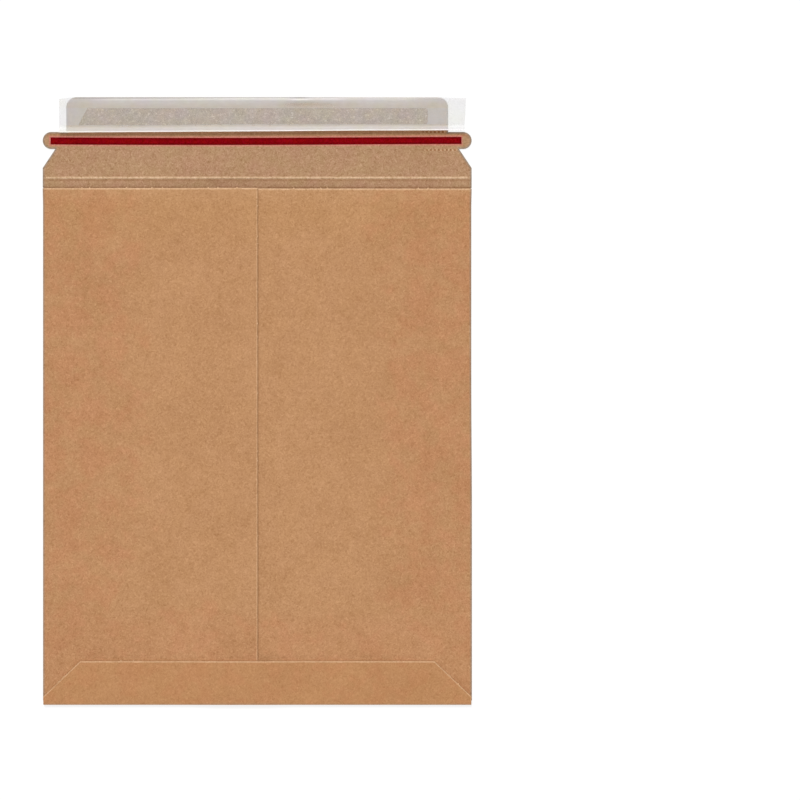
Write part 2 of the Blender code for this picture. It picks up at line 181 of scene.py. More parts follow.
LEFT_MOUTH_NICKS = [x * MM for x in (-114.0, -109.0, -85.0, -68.5, -61.6, -31.8, -25.5, -13.1)]
RIGHT_MOUTH_NICKS = [x * MM for x in (23.8, 41.2, 45.7, 105.0, 111.2)]
BOTTOM_FLAP_NICKS = [x * MM for x in (-129.6, -126.2, -88.8, -80.6, 125.5, 131.0)]
SEAM_NICKS = [y * MM for y in (126.9, 107.1, 102.2, 50.4, 41.7, 5.2, -32.5, -38.7, -87.5)]
SEAM_NICK_HEIGHT = 0.4 * MM

# How finely the sheet is drawn.
PANEL_STEP = 8.0 * MM
RAMP_STEPS = 10
FOLD_STEPS = 16
ARC_STEPS = 14
BEAD_STEPS = 12
TURN_REACH = 1.1 * MM  # how far from the crease the board bends when the flap turns

# What follows from the sizes above.
SIDE_RADIUS = (BOARD + FOLD_GAP) / 2
FOLD_X = HALF_WIDTH - SIDE_RADIUS - BOARD / 2
FOLD_LENGTH = math.pi * SIDE_RADIUS
BACK_LEVEL = 1.5 * BOARD + FOLD_GAP
LAYER_STEP = BOARD + GLUE_GAP
CREASE_Y = hinge.y
MOUTH_Y = CREASE_Y - MOUTH_SETBACK
BOTTOM_Y = -cad_high.y
FLAP_TOP_Y = BOTTOM_Y + BOTTOM_FLAP_HEIGHT
TUBE_Y = BOTTOM_Y + BOTTOM_FLAP_SIDE / 2
PERFORATIONS = (  # the height of each, half of its length, and how dark its cuts look
    (CREASE_Y + LOWER_PERFORATION, HALF_WIDTH - CHAMFER_RUN, 0.6),
    (CREASE_Y + UPPER_PERFORATION, SEAL_WIDTH / 2, 1.0),
)
STRAND_LAY = (8, 52, 97, 141)  # which ways the board's fibres lie, in degrees
HAIR_TONE = 0.75
KRAFT_SPREAD = (0.85, 1.1, 1.5)  # its lighter fibres are paler too, not only brighter

# The red tape.
TAPE_CORNER = 0.06 * MM
TAPE_BOW = 0.34 * MM  # how far it lies off a straight line, down in the middle and up at the right
TAPE_BOW_START = 131.0 * MM
TAPE_BOW_LENGTH = 60.8 * MM
TAPE_STEP = 6.0 * MM

# The adhesive and its release liner.
ADHESIVE_SLANT = 5.8 * MM
ADHESIVE_DROOP = 0.6 * MM  # how much lower its lower edge is at the left
ADHESIVE_DROOP_END = -75.0 * MM  # where the droop starts to run out, and how far it takes
ADHESIVE_DROOP_RUN = 65.0 * MM
ADHESIVE_CORNER = 1.6 * MM
LINER_THICKNESS = 0.08 * MM
LINER_STEP = 2.5 * MM
LINER_ROWS = 16
LINER_CURL_LOW = 2.0 * MM
LINER_CURL_TOP = 0.5 * MM
LINER_DROOP = 0.3 * MM  # how much lower than the solid's its lower edge is at the left, and its rise from there
LINER_TILT_LOW = 1.55 * MM
LINER_RISE = 0.12 * MM  # one stretch of its lower edge that lies higher: how much, where, and how far it spreads
LINER_RISE_X = 60.0 * MM
LINER_RISE_REACH = 35.0 * MM
LINER_END_SLANT = 1.3 * MM
LINER_TOP_MARGIN = 0.2 * MM  # board that shows above the liner's upper edge
LINER_DROP_LEFT = 1.0 * MM  # how much lower its upper edge is at each loose end
LINER_DROP_RIGHT = 0.4 * MM
LINER_DROP_INSET = 4.0 * MM
LINER_DROP_RUN = 10.0 * MM
LINER_LEVEL = liner_low.z + LINER_THICKNESS / 2
LOW_RIM_START = 0.74  # where the painted highlight on its edges is strongest, as shares of each free margin's width
TOP_RIM_AT = 0.8
TOP_RIM_REACH = 0.1
TOP_RIM = 0.5
LOOSE_RIM = 0.8  # how much of the lower margin's painted highlight is left past the board's ends
EDGE_RIM_AT = 0.9
EDGE_RIM = 0.95
LOW_LIFT_LEFT = 0.5
LOW_LIFT_RIGHT = 0.87
LOW_LIFT_AT = -70.0 * MM  # where the lower margin starts to turn from the one to the other, and how soon it has
LOW_LIFT_RUN = 75.0 * MM
# the upper margin's lift: milkier where it stands clear, and partly painted light, since that margin tilts away from
# the light
TOP_LIFT = 1.2
TOP_FALL = 0.75
LINER_RIPPLE = 0.16 * MM
LINER_WAVES = ((9.0 * MM, 0.4), (5.2 * MM, 1.9), (16.0 * MM, 3.1))
LINER_BUCKLE = 0.8 * MM
LINER_BUCKLE_X = 27.7 * MM
LINER_BUCKLE_REACH = 11.0 * MM
BUCKLE_GLINT_REACH = 6.0 * MM
BUCKLE_SMEAR_LEFT = 11.0 * MM  # how far the clearer film under the buckle spreads each way
BUCKLE_SMEAR_RIGHT = 24.0 * MM
BUCKLE_SMEAR = 1.1

# Tints, each the share of red, green and blue light that the surface gives back.
OUTER_TINTS = ((0.4045, 0.2098, 0.0941), (0.4150, 0.1979, 0.0904))  # cool, warm
INNER_TINTS = ((0.353, 0.2098, 0.1058), (0.364, 0.1975, 0.1127))
KRAFT_YELLOWS = ((1.0, 1.0, 1.014), (1.0, 1.0, 0.986))  # what patches of both tints are multiplied by
GOLD_HUE = (1.0, 1.004, 0.965)  # what the outer tint is multiplied by towards the mouth
GOLD_REACH = 48.0 * MM
GOLD_FULL = 14.0 * MM
FOLD_PAINTED_SHADE = 0.036  # painted shade: how much darker the outer face is towards its folds
BOTTOM_FLAP_HUE = (0.995, 0.99, 0.924)  # what its tint is multiplied by
BOTTOM_FLAP_CALM = 0.75
# pale board: the cut edges' rubbed paleness with a painted highlight on it, and the board between the perforations'
# cuts
PALE_BOARD = (0.62, 0.40, 0.24)
# the bead's crest, rubbed pale and with a painted highlight
CREASE_WEAR_AND_HIGHLIGHT = (0.66, 0.46, 0.29)
# painted shade along the cut outline and the side folds
EDGE_SHADE_BOARD = (0.24, 0.185, 0.135)
SHADE_BOARD = (0.22, 0.072, 0.010)
INNER_SHADE = (0.19, 0.075, 0.02)
LINER_SHADE_HUE = (0.95, 0.82, 0.73)  # what the strip's tint is multiplied by under the liner's curled margin
CUT_BOARD = (0.40, 0.25, 0.14)
# painted shade deep in the slits
SLIT_SHADE = (0.08, 0.04, 0.02)
TAPE_RED = (0.186, 0.0010, 0.0018)
TAPE_CRIMSON = (0.186, 0.0006, 0.0038)
TAPE_SPREAD = (0.9, 3.0, 2.5)  # how strongly its red, green and blue follow its mottle
TAPE_BLUSH = (0.51, 0.17, 0.128)
GLUE_WARM = (0.340, 0.230, 0.171)
GLUE_COOL = (0.308, 0.240, 0.176)
GLUE_YELLOW = (1.0, 1.0, 0.85)  # what its tint is multiplied by in patches
GLUE_BUBBLE = (0.52, 0.46, 0.40)
GLUE_SPREAD = (0.78, 1.0, 1.2)  # how strongly its red, green and blue follow its tone
HOT_MELT = (0.62, 0.54, 0.38)
FILM = (0.69, 0.695, 0.686)
LOOSE_FILM = (0.68, 0.675, 0.655)  # past both ends of the board
WARM_FILM = (0.69, 0.67, 0.61)
LIFTED_FILM = (0.72, 0.695, 0.675)
# painted shade along the liner's upper edge and under the buckle
FILM_EDGE_SHADE = (0.20, 0.20, 0.205)
# painted highlight along the liner's curled edges
FILM_HIGHLIGHT = (0.90, 0.87, 0.84)
FILM_LILACS = ((0.995, 1.01, 0.995), (1.008, 0.99, 1.01))  # what its tints are multiplied by, from patch to patch
FILM_CREAMS = ((1.0, 1.0, 1.03), (1.0, 1.0, 0.96))
LOOSE_VEIL = 0.34
WETTED_VEIL = 0.145
LIFTED_VEIL = 0.17
RIM_VEIL = 0.3

# The photograph's frame and the light.
FRAME_WIDTH = 520.6 * MM
VIEW_X = 92.8 * MM
VIEW_Y = 0.65 * MM
LENS = 120.0
SENSOR = 36.0
SKY_STRENGTH = 0.55
KEY_STRENGTH = 2.75
KEY_AZIMUTH = math.radians(100)
KEY_ELEVATION = math.radians(45)
FILL_STRENGTH = 0.8
FILL_AZIMUTH = math.radians(-90)
FILL_ELEVATION = math.radians(22)
LIGHT_SPREAD = math.radians(24)
FLOOR_SIZE = 12.0
FLOOR_ALBEDO = 0.23
FLOOR_GLOW = 0.75

# The edges' paleness and the crest are partly rubbed pale and partly painted highlight; the outline's mark, shade and
# inner_shade are painted shade.
BOARD_MARKS = ("pale_edge", "dull_edge", "crest", "bottom_flap", "slit", "shade", "inner_shade")
# rim is a painted highlight, edge is painted shade, and lift is partly painted light on the upper margin
LINER_MARKS = ("lift", "rim", "warm", "edge")
RIM = 2  # the board's third material, on its cut edges


def smooth(share):
    """0 to 1 with level ends."""
    share = min(1.0, max(0.0, share))
    return share * share * (3 - 2 * share)


def spaced(stops, step):
    """The stops, with each stretch between two of them divided into equal parts no longer than step."""
    found = [stops[0]]
    for low, high in zip(stops, stops[1:]):
        parts = max(1, math.ceil(abs(high - low) / step - 1e-6))
        found += [low + (high - low) * n / parts for n in range(1, parts)] + [high]
    return found


def ramp_stops(start, end):
    return [start + (end - start) * n / RAMP_STEPS for n in range(RAMP_STEPS + 1)]


def arc(centre, radius, start, end, steps=ARC_STEPS):
    """Points (x, y) round an arc, both ends included, angles in degrees."""
    turn = [math.radians(start + (end - start) * n / steps) for n in range(steps + 1)]
    return [(centre[0] + radius * math.cos(a), centre[1] + radius * math.sin(a)) for a in turn]


def nick(at, places):
    """0 to 1: how far a cut edge stands out here, at the small nicks along it."""
    return max([0.0] + [1 - abs(at - place) / NICK_HALF for place in places])


def with_nicks(stops, places):
    """The stops in rising order, with three more at each nick and none crowding them."""
    extra = [place + offset for place in places for offset in (-NICK_HALF, 0.0, NICK_HALF)]
    kept = [stop for stop in stops if all(abs(stop - place) > NICK_HALF for place in extra)]
    return sorted(kept + extra)


class Sheet:
    """The board's middle layer as a bmesh, with marks at its vertices for the materials to read."""

    def __init__(self):
        self.bm = bmesh.new()
        self.blank = self.bm.verts.layers.float_vector.new("blank")
        self.marks = {name: self.bm.verts.layers.float.new(name) for name in BOARD_MARKS}

    def vertex(self, place, blank, **marks):
        """A vertex at its folded place, with its place (x, y) on the flat blank."""
        made = self.bm.verts.new(place)
        made[self.blank] = (*blank, 0.0)
        for name, value in marks.items():
            made[self.marks[name]] = value
        return made

    def grid(self, rows):
        """Faces between each row of vertices and the next."""
        for lower, upper in zip(rows, rows[1:]):
            for a, b, c, d in zip(lower, lower[1:], upper[1:], upper):
                self.bm.faces.new((a, b, c, d))


def pocket_gap(x, y):
    """Air between the front panel and the half panels: pinched at the folds and under the bottom flap."""
    across = 1 - min(1.0, abs(x) / FOLD_X) ** 2
    along = smooth((y - FLAP_TOP_Y) / PINCH_RUN)
    return FOLD_GAP + (MOUTH_GAP - FOLD_GAP) * across * along


def seam_step(x):
    """How far the left half panel has climbed on to the right one."""
    start = -(SEAM_OVERLAP + SEAM_EASE + SEAM_RAMP)
    return LAYER_STEP * smooth((x - start) / SEAM_RAMP)


def under_level(x, y):
    """Middle layer of the right half panel."""
    return 1.5 * BOARD + pocket_gap(x, y)


def over_level(x, y):
    """Middle layer of the left half panel."""
    return under_level(x, y) + seam_step(x)


def bottom_flap_level(x):
    """Middle layer of the bottom flap, which lies over the seam and comes down again beside it."""
    down = 1 - smooth((x - SEAM_EASE) / SEAM_RAMP)
    return BACK_LEVEL + LAYER_STEP + min(seam_step(x), LAYER_STEP * down)


def bottom_flap_top(x):
    """The y of the bottom flap's cut edge, level in the middle and slanted at the corners."""
    share = (HALF_WIDTH - BOTTOM_FLAP_INSET - abs(x)) / BOTTOM_FLAP_RUN
    return BOTTOM_Y + BOTTOM_FLAP_SIDE + (BOTTOM_FLAP_HEIGHT - BOTTOM_FLAP_SIDE) * min(1.0, max(0.0, share))


def mouth_y(x):
    """Height of the half panels' cut edges. The front panel's row there slants from one to the other."""
    share = (x / FOLD_X + 1) / 2
    return MOUTH_Y - MOUTH_STAGGER * min(1.0, max(0.0, share))


def bead_level(x, y):
    """Middle layer near the crease: a rounded bead that fades before the edges."""
    fade = smooth((HALF_WIDTH - abs(x)) / BEAD_FADE)
    offset = min(1.0, abs(y - CREASE_Y) / BEAD_HALF_WIDTH)
    return BOARD / 2 + BEAD_HEIGHT * fade * math.cos(offset * math.pi / 2) ** 2


def inset_share(x, y):
    """How far x is drawn towards the middle, as a share of itself: the side edges aren't quite straight."""
    above = smooth((y - MOUTH_Y) / INSET_FADE + 1)
    if x < 0:
        return LEFT_INSET * (1 - above) / HALF_WIDTH
    share = (y - TUBE_Y) / (MOUTH_Y - TUBE_Y)
    body = RIGHT_INSET_LOW + (RIGHT_INSET_HIGH - RIGHT_INSET_LOW) * smooth((share - 0.35) / 0.3)
    return (body + (RIGHT_INSET_FLAP - body) * above) / HALF_WIDTH


def fold_arc(side, start, end):
    """Points (x, z) round a side fold's middle layer, from angle start to end, ends left out."""
    middle = BOARD / 2 + SIDE_RADIUS
    for n in range(1, FOLD_STEPS):
        angle = start + (end - start) * n / FOLD_STEPS
        yield side * (FOLD_X + SIDE_RADIUS * math.cos(angle)), middle + SIDE_RADIUS * math.sin(angle)


def front_columns():
    """The x of every column of the front panel between the side folds, from +X to -X."""
    slant = HALF_WIDTH - BOTTOM_FLAP_INSET - BOTTOM_FLAP_RUN
    left_ramp = ramp_stops(-(SEAM_OVERLAP + SEAM_EASE + SEAM_RAMP), -(SEAM_OVERLAP + SEAM_EASE))
    right_ramp = ramp_stops(SEAM_EASE, SEAM_EASE + SEAM_RAMP)
    faded, edge_band = HALF_WIDTH - BEAD_FADE, HALF_WIDTH - DULL_EDGE
    stops = spaced([-FOLD_X, -edge_band, -faded, -slant, *left_ramp, *right_ramp, slant, faded, edge_band, FOLD_X], PANEL_STEP)
    return with_nicks(stops, BOTTOM_FLAP_NICKS)[::-1]


Station = namedtuple("Station", "flat_x x level top nicks marks")


def tube_stations():
    """Every point round the body's section, from the right half panel's hidden edge to the seam's edge.

    Each has its x on the blank, its x, its level at y, the height of its mouth, the nicks there, and its marks.
    """
    right_y, left_y = mouth_y(FOLD_X), mouth_y(-FOLD_X)
    round_fold = [FOLD_LENGTH * n / FOLD_STEPS for n in range(1, FOLD_STEPS)]
    panel_start = FOLD_X + FOLD_LENGTH
    dull = {"dull_edge": FOLD_EDGE_SHADE}
    right_panel = spaced([-SEAM_OVERLAP, 0.0, SEAM_SHADE_PEAK, SEAM_SHADE_REACH, FOLD_X - FOLD_DULL_REACH, FOLD_X],
                         PANEL_STEP)
    right_marks = {0.0: {"pale_edge": SEAM_FOOT_PAINTED_LIGHT}, SEAM_SHADE_PEAK: {"shade": SEAM_SHADE}, FOLD_X: dull}
    stations = [Station(panel_start + FOLD_X - x, x, lambda y, x=x: under_level(x, y), right_y, RIGHT_MOUTH_NICKS,
                        right_marks.get(x, {}))
                for x in with_nicks(right_panel, RIGHT_MOUTH_NICKS)]
    stations += [Station(panel_start - run, x, lambda y, z=z: z, right_y, [], dull)
                 for run, (x, z) in zip(round_fold, fold_arc(1, math.pi / 2, -math.pi / 2))]
    first = len(stations)
    stations += [Station(x, x, lambda y: BOARD / 2, mouth_y(x), [], {}) for x in front_columns()]
    last = len(stations)
    stations += [Station(-FOLD_X - run, x, lambda y, z=z: z, left_y, [], dull)
                 for run, (x, z) in zip(round_fold, fold_arc(-1, -math.pi / 2, math.pi / 2))]
    ramp = ramp_stops(-(SEAM_OVERLAP + SEAM_EASE + SEAM_RAMP), -(SEAM_OVERLAP + SEAM_EASE))
    left_panel = spaced([-FOLD_X, FOLD_DULL_REACH - FOLD_X, *ramp, -SEAM_PALE_EDGE, -SEAM_PALE_CORE, SEAM_EDGE_X],
                        PANEL_STEP)
    left_marks = {-FOLD_X: dull, -SEAM_PALE_CORE: {"pale_edge": SEAM_PALENESS}}
    stations += [Station(-panel_start - FOLD_X - x, x, lambda y, x=x: over_level(x, y), left_y, LEFT_MOUTH_NICKS,
                         left_marks.get(x, {}))
                 for x in with_nicks(left_panel, LEFT_MOUTH_NICKS)]
    return stations, first, last


def tube_rows():
    """(y, paleness of the mouth's edge, partly rubbed pale and partly painted highlight) of each row of the body, from
    the bottom to the mouth.
    """
    heights = spaced([TUBE_Y, FLAP_TOP_Y, FLAP_TOP_Y + PINCH_RUN, MOUTH_Y - PALE_REACH], PANEL_STEP)
    rows = [(y, 0.0) for y in with_nicks(heights, SEAM_NICKS)]
    return rows + [(MOUTH_Y - PALE_EDGE, PALE_REST), (MOUTH_Y - PALE_CORE, 1.0), (MOUTH_Y, 1.0)]


def add_tube(sheet):
    """Front panel, side folds and half panels. Returns the front panel's lowest and highest rows."""
    stations, first, last = tube_stations()
    rows = []
    for y, mouth_paleness in tube_rows():
        at_mouth = y == MOUTH_Y
        share = (y - TUBE_Y) / (MOUTH_Y - TUBE_Y)
        row = []
        for index, station in enumerate(stations):
            height = TUBE_Y + (station.top - TUBE_Y) * share
            stand = nick(station.x, station.nicks) if at_mouth else 0.0
            lean = nick(y, SEAM_NICKS) if index == len(stations) - 1 else 0.0
            place = (station.x + SEAM_NICK_HEIGHT * lean, height + NICK_HEIGHT * stand,
                     station.level(height) + NICK_LIFT * max(stand, lean))
            marks = dict(station.marks)
            if first <= index < last:
                marks["inner_shade"] = MOUTH_SHADE if at_mouth else 0.0
            else:
                marks["pale_edge"] = max(mouth_paleness, marks.get("pale_edge", 0.0), lean)
            row.append(sheet.vertex(place, (station.flat_x, height), **marks))
        rows.append(row)
    sheet.grid(rows)
    return rows[0][first:last], rows[-1][first:last]


def add_bottom_flap(sheet, front_row):
    """The front panel's last stretch, the bottom fold and the flap that lies on the half panels."""
    end = HALF_WIDTH - BOTTOM_FLAP_INSET
    low_y = TUBE_Y - CORNER_RELIEF
    start = [sheet.vertex((side * end, low_y, BOARD / 2), (side * end, low_y)) for side in (1, -1)]
    rows = [[start[0], *front_row, start[1]]]
    columns = [vertex.co.x for vertex in rows[0]]
    for n in range(FOLD_STEPS + 1):
        angle = math.pi * n / FOLD_STEPS
        row = []
        for x in columns:
            radius = (bottom_flap_level(x) - BOARD / 2) / 2
            start_y = BOTTOM_Y + BOARD / 2 + radius
            place = (x, start_y - radius * math.sin(angle), BOARD / 2 + radius - radius * math.cos(angle))
            row.append(sheet.vertex(place, (x, start_y - radius * angle), bottom_flap=n / FOLD_STEPS,
                                    pale_edge=FOLD_PAINTED_LIGHT * math.sin(angle)))
        rows.append(row)
    fold_row = rows[-1]
    for share, margin, paleness in ((0.33, 0.0, 0.0), (0.66, 0.0, 0.0), (1.0, FLAP_PALE_EDGE, 0.0),
                                    (1.0, FLAP_PALE_CORE, FLAP_PALENESS), (1.0, 0.0, FLAP_PALENESS)):
        row = []
        for x, low in zip(columns, fold_row):
            y = low.co.y + (bottom_flap_top(x) - low.co.y) * share - margin
            stand = nick(x, BOTTOM_FLAP_NICKS) if share == 1.0 and margin == 0.0 else 0.0
            place = (x, y + NICK_HEIGHT * stand, bottom_flap_level(x) + NICK_LIFT * stand)
            flat = (x, low[sheet.blank][1] - (y - low.co.y))
            row.append(sheet.vertex(place, flat, bottom_flap=1.0, pale_edge=paleness))
        rows.append(row)
    sheet.grid(rows[::-1])


def bead_rows(side):
    """The y of each row across half of the bead, going up the sheet."""
    found = [CREASE_Y + side * BEAD_HALF_WIDTH * n / BEAD_STEPS for n in range(BEAD_STEPS + 1)]
    return found if side > 0 else found[::-1]


def crest_mark(x, y):
    """1 along the bead's upper shoulder, where its top layer has rubbed pale and a painted highlight stands for the
    light it catches.
    """
    fade = smooth((HALF_WIDTH - abs(x)) / BEAD_FADE)
    offset = (y - CREASE_Y) / BEAD_HALF_WIDTH - CREST_OFFSET
    return fade * max(0.0, 1 - (offset / CREST_REACH) ** 2)


def foot_shade(y):
    """1 along the dim line at the bead's lower foot."""
    down = CREASE_Y - y
    if down <= FOOT_SHADE_PEAK:
        return max(0.0, (down - FOOT_SHADE_RISE) / (FOOT_SHADE_PEAK - FOOT_SHADE_RISE))
    return max(0.0, (FOOT_SHADE_END - down) / (FOOT_SHADE_END - FOOT_SHADE_PEAK))


def add_front_top(sheet, mouth_row):
    """The strip that shows above the mouth and the whole bead of the crease. Returns the bead's upper row."""
    ends = []
    for side in (1, -1):
        y = mouth_y(side * FOLD_X) + CORNER_RELIEF
        ends.append(sheet.vertex((side * HALF_WIDTH, y, BOARD / 2), (side * HALF_WIDTH, y), dull_edge=1.0))
    rows = [[ends[0], *mouth_row, ends[1]]]
    columns = [vertex.co.x for vertex in rows[0]]
    strip = [MOUTH_Y + MOUTH_SHADE_HOLD, MOUTH_Y + MOUTH_SHADE_REACH, CREASE_Y - FOOT_SHADE_END,
             CREASE_Y - FOOT_SHADE_PEAK]
    for y in strip + bead_rows(-1) + bead_rows(1)[1:]:
        row = []
        for index, x in enumerate(columns):
            dull = {0: 1.0, 1: DULL_REST}.get(min(index, len(columns) - 1 - index), 0.0)
            place = (x, y, bead_level(x, y))
            shade = 0.8 * MOUTH_SHADE if y == strip[0] else 0.75 * foot_shade(y)
            row.append(sheet.vertex(place, (x, y), crest=crest_mark(x, y), dull_edge=dull, inner_shade=shade))
        rows.append(row)
    sheet.grid(rows)
    return rows[-1]


def flap_right_side():
    """The closing flap's right edge, from the bead's foot up to the seal panel's top corner."""
    lower, upper = CREASE_Y + LOWER_PERFORATION, CREASE_Y + UPPER_PERFORATION
    tab = (upper - lower) / 2 - TAB_MARGIN
    corner = (SEAL_WIDTH / 2 - SEAL_CORNER, upper + SEAL_HEIGHT - SEAL_CORNER)
    neck_x = HALF_WIDTH - CHAMFER_RUN
    return [
        (HALF_WIDTH, CREASE_Y + SHOULDER_HEIGHT),
        (neck_x, lower),
        (neck_x, lower + TAB_MARGIN),
        *arc((HALF_WIDTH - tab, (lower + upper) / 2), tab, -90, 90, 2 * ARC_STEPS),
        (SEAL_WIDTH / 2, upper - TAB_MARGIN),
        *arc(corner, SEAL_CORNER, 0, 90),
    ]


def inset(points, distance, before, after):
    """The open outline moved to its left by the distance. before and after are the points beyond its ends."""
    moved = []
    line = [Vector(point) for point in (before, *points, after)]
    for back, here, ahead in zip(line, line[1:], line[2:]):
        arriving, leaving = (here - back).normalized(), (ahead - here).normalized()
        side = Vector((-arriving.y - leaving.y, arriving.x + leaving.x)).normalized()
        moved.append(here + side * (distance / max(0.3, side.dot(Vector((-arriving.y, arriving.x))))))
    return moved


def slit_centres(half_length):
    """The x of each slit along a perforation, centred, at the pitch."""
    count = int((2 * (half_length - SLIT_END) - SLIT_LENGTH) // SLIT_PITCH) + 1
    return [(n - (count - 1) / 2) * SLIT_PITCH for n in range(count)]


def slit_width(x):
    return SLIT_CLOSED + (SLIT_OPEN - SLIT_CLOSED) * smooth((x - SLIT_OPENS_AT) / SLIT_OPENS_OVER)


def slit_loops():
    """The four corners of every slit in the two perforations."""
    for y, half_length, _ in PERFORATIONS:
        for x in slit_centres(half_length):
            long, wide = SLIT_LENGTH / 2, slit_width(x) / 2
            yield [(x - long, y - wide), (x + long, y - wide), (x + long, y + wide), (x - long, y + wide)]


def add_flap(sheet, foot_row):
    """The closing flap above the bead: a thin border along its cut edge, carrying painted shade, and one flat sheet
    inside it.
    """
    right = flap_right_side()
    left = [(-x, y) for x, y in reversed(right)]
    start, end = foot_row[0].co.xy, foot_row[-1].co.xy
    rings = []
    for depth, dull in ((0.0, 1.0), (DULL_CORE, DULL_REST), (DULL_EDGE, 0.0)):
        line = inset(right + left, depth, start, end)
        rings.append([sheet.vertex((x, y, BOARD / 2), (x, y), dull_edge=dull) for x, y in line])
    sheet.grid([[foot_row[0], *rings[0], foot_row[-1]], [foot_row[1], *rings[1], foot_row[-2]],
                [foot_row[2], *rings[2], foot_row[-3]]])
    bm = sheet.bm
    loop = foot_row[2:-2] + rings[2][::-1]
    edges = [bm.edges.get(pair) or bm.edges.new(pair) for pair in zip(loop, loop[1:] + loop[:1])]
    for corners in slit_loops():
        slit = [sheet.vertex((x, y, BOARD / 2), (x, y), slit=1.0) for x, y in corners]
        edges += [bm.edges.new(pair) for pair in zip(slit, slit[1:] + slit[:1])]
    bmesh.ops.triangle_fill(bm, edges=edges, use_beauty=True, normal=(0, 0, -1))


def finished(obj, angle=35):
    obj.data.shade_smooth()
    obj.data.set_sharp_from_angle(angle=math.radians(angle))
    return obj


def object_from(name, bm, materials):
    mesh = bpy.data.meshes.new(name)
    bm.to_mesh(mesh)
    bm.free()
    for made in materials:
        mesh.materials.append(made)
    obj = bpy.data.objects.new(name, mesh)
    bpy.context.scene.collection.objects.link(obj)
    return obj


def thicken(obj, thickness, inner=0, rim=0):
    """Gives a sheet's middle layer its thickness. inner and rim say which later material those sides take."""
    layer = obj.modifiers.new("thickness", "SOLIDIFY")
    layer.thickness = thickness
    layer.offset = 0.0
    layer.use_even_offset = True
    layer.use_quality_normals = True
    layer.material_offset = inner
    layer.material_offset_rim = rim
    solid = bpy.data.meshes.new_from_object(obj.evaluated_get(bpy.context.evaluated_depsgraph_get()))
    obj.modifiers.clear()
    obj.data = solid


def face_outwards(bm):
    """Turns the sheet's faces so that the front panel's look down at the floor."""
    bmesh.ops.recalc_face_normals(bm, faces=bm.faces)
    level = BOARD / 2
    flat = [face for face in bm.faces if abs(face.calc_center_median().z - level) < 0.01 * MM]
    if sum(face.normal.z * face.calc_area() for face in flat) > 0:
        bmesh.ops.reverse_faces(bm, faces=bm.faces)


def crush_edges(obj):
    """Rounds the cut edges all round the blank, apart from those of the slits."""
    bm = bmesh.new()
    bm.from_mesh(obj.data)
    slit = bm.verts.layers.float["slit"]
    sharp = []
    for edge in bm.edges:
        kinds = {face.material_index for face in edge.link_faces}
        in_slit = all(vertex[slit] > 0.5 for vertex in edge.verts)
        if len(kinds) == 2 and RIM in kinds and not in_slit:
            sharp.append(edge)
    bmesh.ops.bevel(bm, geom=sharp, offset=BEVEL, segments=BEVEL_STEPS, profile=0.5, affect="EDGES",
                    clamp_overlap=False, material=-1)
    bm.to_mesh(obj.data)
    bm.free()


def make_board():
    sheet = Sheet()
    bottom_row, mouth_row = add_tube(sheet)
    add_bottom_flap(sheet, bottom_row)
    add_flap(sheet, add_front_top(sheet, mouth_row))
    face_outwards(sheet.bm)
    for vertex in sheet.bm.verts:
        vertex.co.x *= 1 - inset_share(vertex.co.x, vertex.co.y)
    count = len(sheet.bm.verts)
    board = object_from("board", sheet.bm, [outer_kraft(), inner_kraft(), cut_board()])
    thicken(board, BOARD, inner=1, rim=RIM)
    for index, place in enumerate(board.data.attributes["blank"].data):
        depth = BOARD / 2 if index < count else -BOARD / 2
        place.vector = (place.vector.x, place.vector.y, depth)
    crush_edges(board)
    finished(board)
    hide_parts("mailer_body", "closing_flap")
    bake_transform(board, "mailer", "flap", start=(0, CREASE_Y - TURN_REACH, 0), end=(0, CREASE_Y + TURN_REACH, 0))


def make_tape():
    """The tear tape: a thin strip with soft long edges that lies very slightly unevenly."""
    bm = bmesh.new()
    base, top = BOARD, tape_high.z
    low, high = tape_low.y, tape_high.y
    profile = [(low, base), (low, top - TAPE_CORNER), (low + TAPE_CORNER, top), (high - TAPE_CORNER, top),
               (high, top - TAPE_CORNER), (high, base)]
    rows = []
    for x in spaced([tape_low.x, tape_high.x], TAPE_STEP):
        bow = TAPE_BOW * math.sin((x + TAPE_BOW_START) / TAPE_BOW_LENGTH)
        rows.append([bm.verts.new((x, y - bow, z)) for y, z in profile])
    for row, beyond in zip(rows, rows[1:]):
        for n in range(len(profile)):
            after = (n + 1) % len(profile)
            bm.faces.new((row[n], row[after], beyond[after], beyond[n]))
    bm.faces.new(rows[0])
    bm.faces.new(rows[-1][::-1])
    bmesh.ops.recalc_face_normals(bm, faces=bm.faces)
    tape = finished(object_from("tape", bm, [red_film()]))
    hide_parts("tear_tape")
    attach(tape, "flap")


def adhesive_bottom(x):
    """The y of the adhesive's lower edge, which droops towards the left."""
    return adhesive_low.y - ADHESIVE_DROOP * (1 - smooth((x - ADHESIVE_DROOP_END) / ADHESIVE_DROOP_RUN))


def adhesive_sides():
    """(left edge's points, right edge's points) of the adhesive, each from its lower end to its upper one."""
    low, high = adhesive_low.y, adhesive_high.y
    left, right = adhesive_low.x, adhesive_high.x
    inner, r = right - ADHESIVE_CORNER, ADHESIVE_CORNER
    right_side = arc((inner, low + r), r, -90, 0, 6) + arc((inner, high - r), r, 0, 90, 6)
    return [(left, adhesive_bottom(left)), (left + ADHESIVE_SLANT, high)], right_side


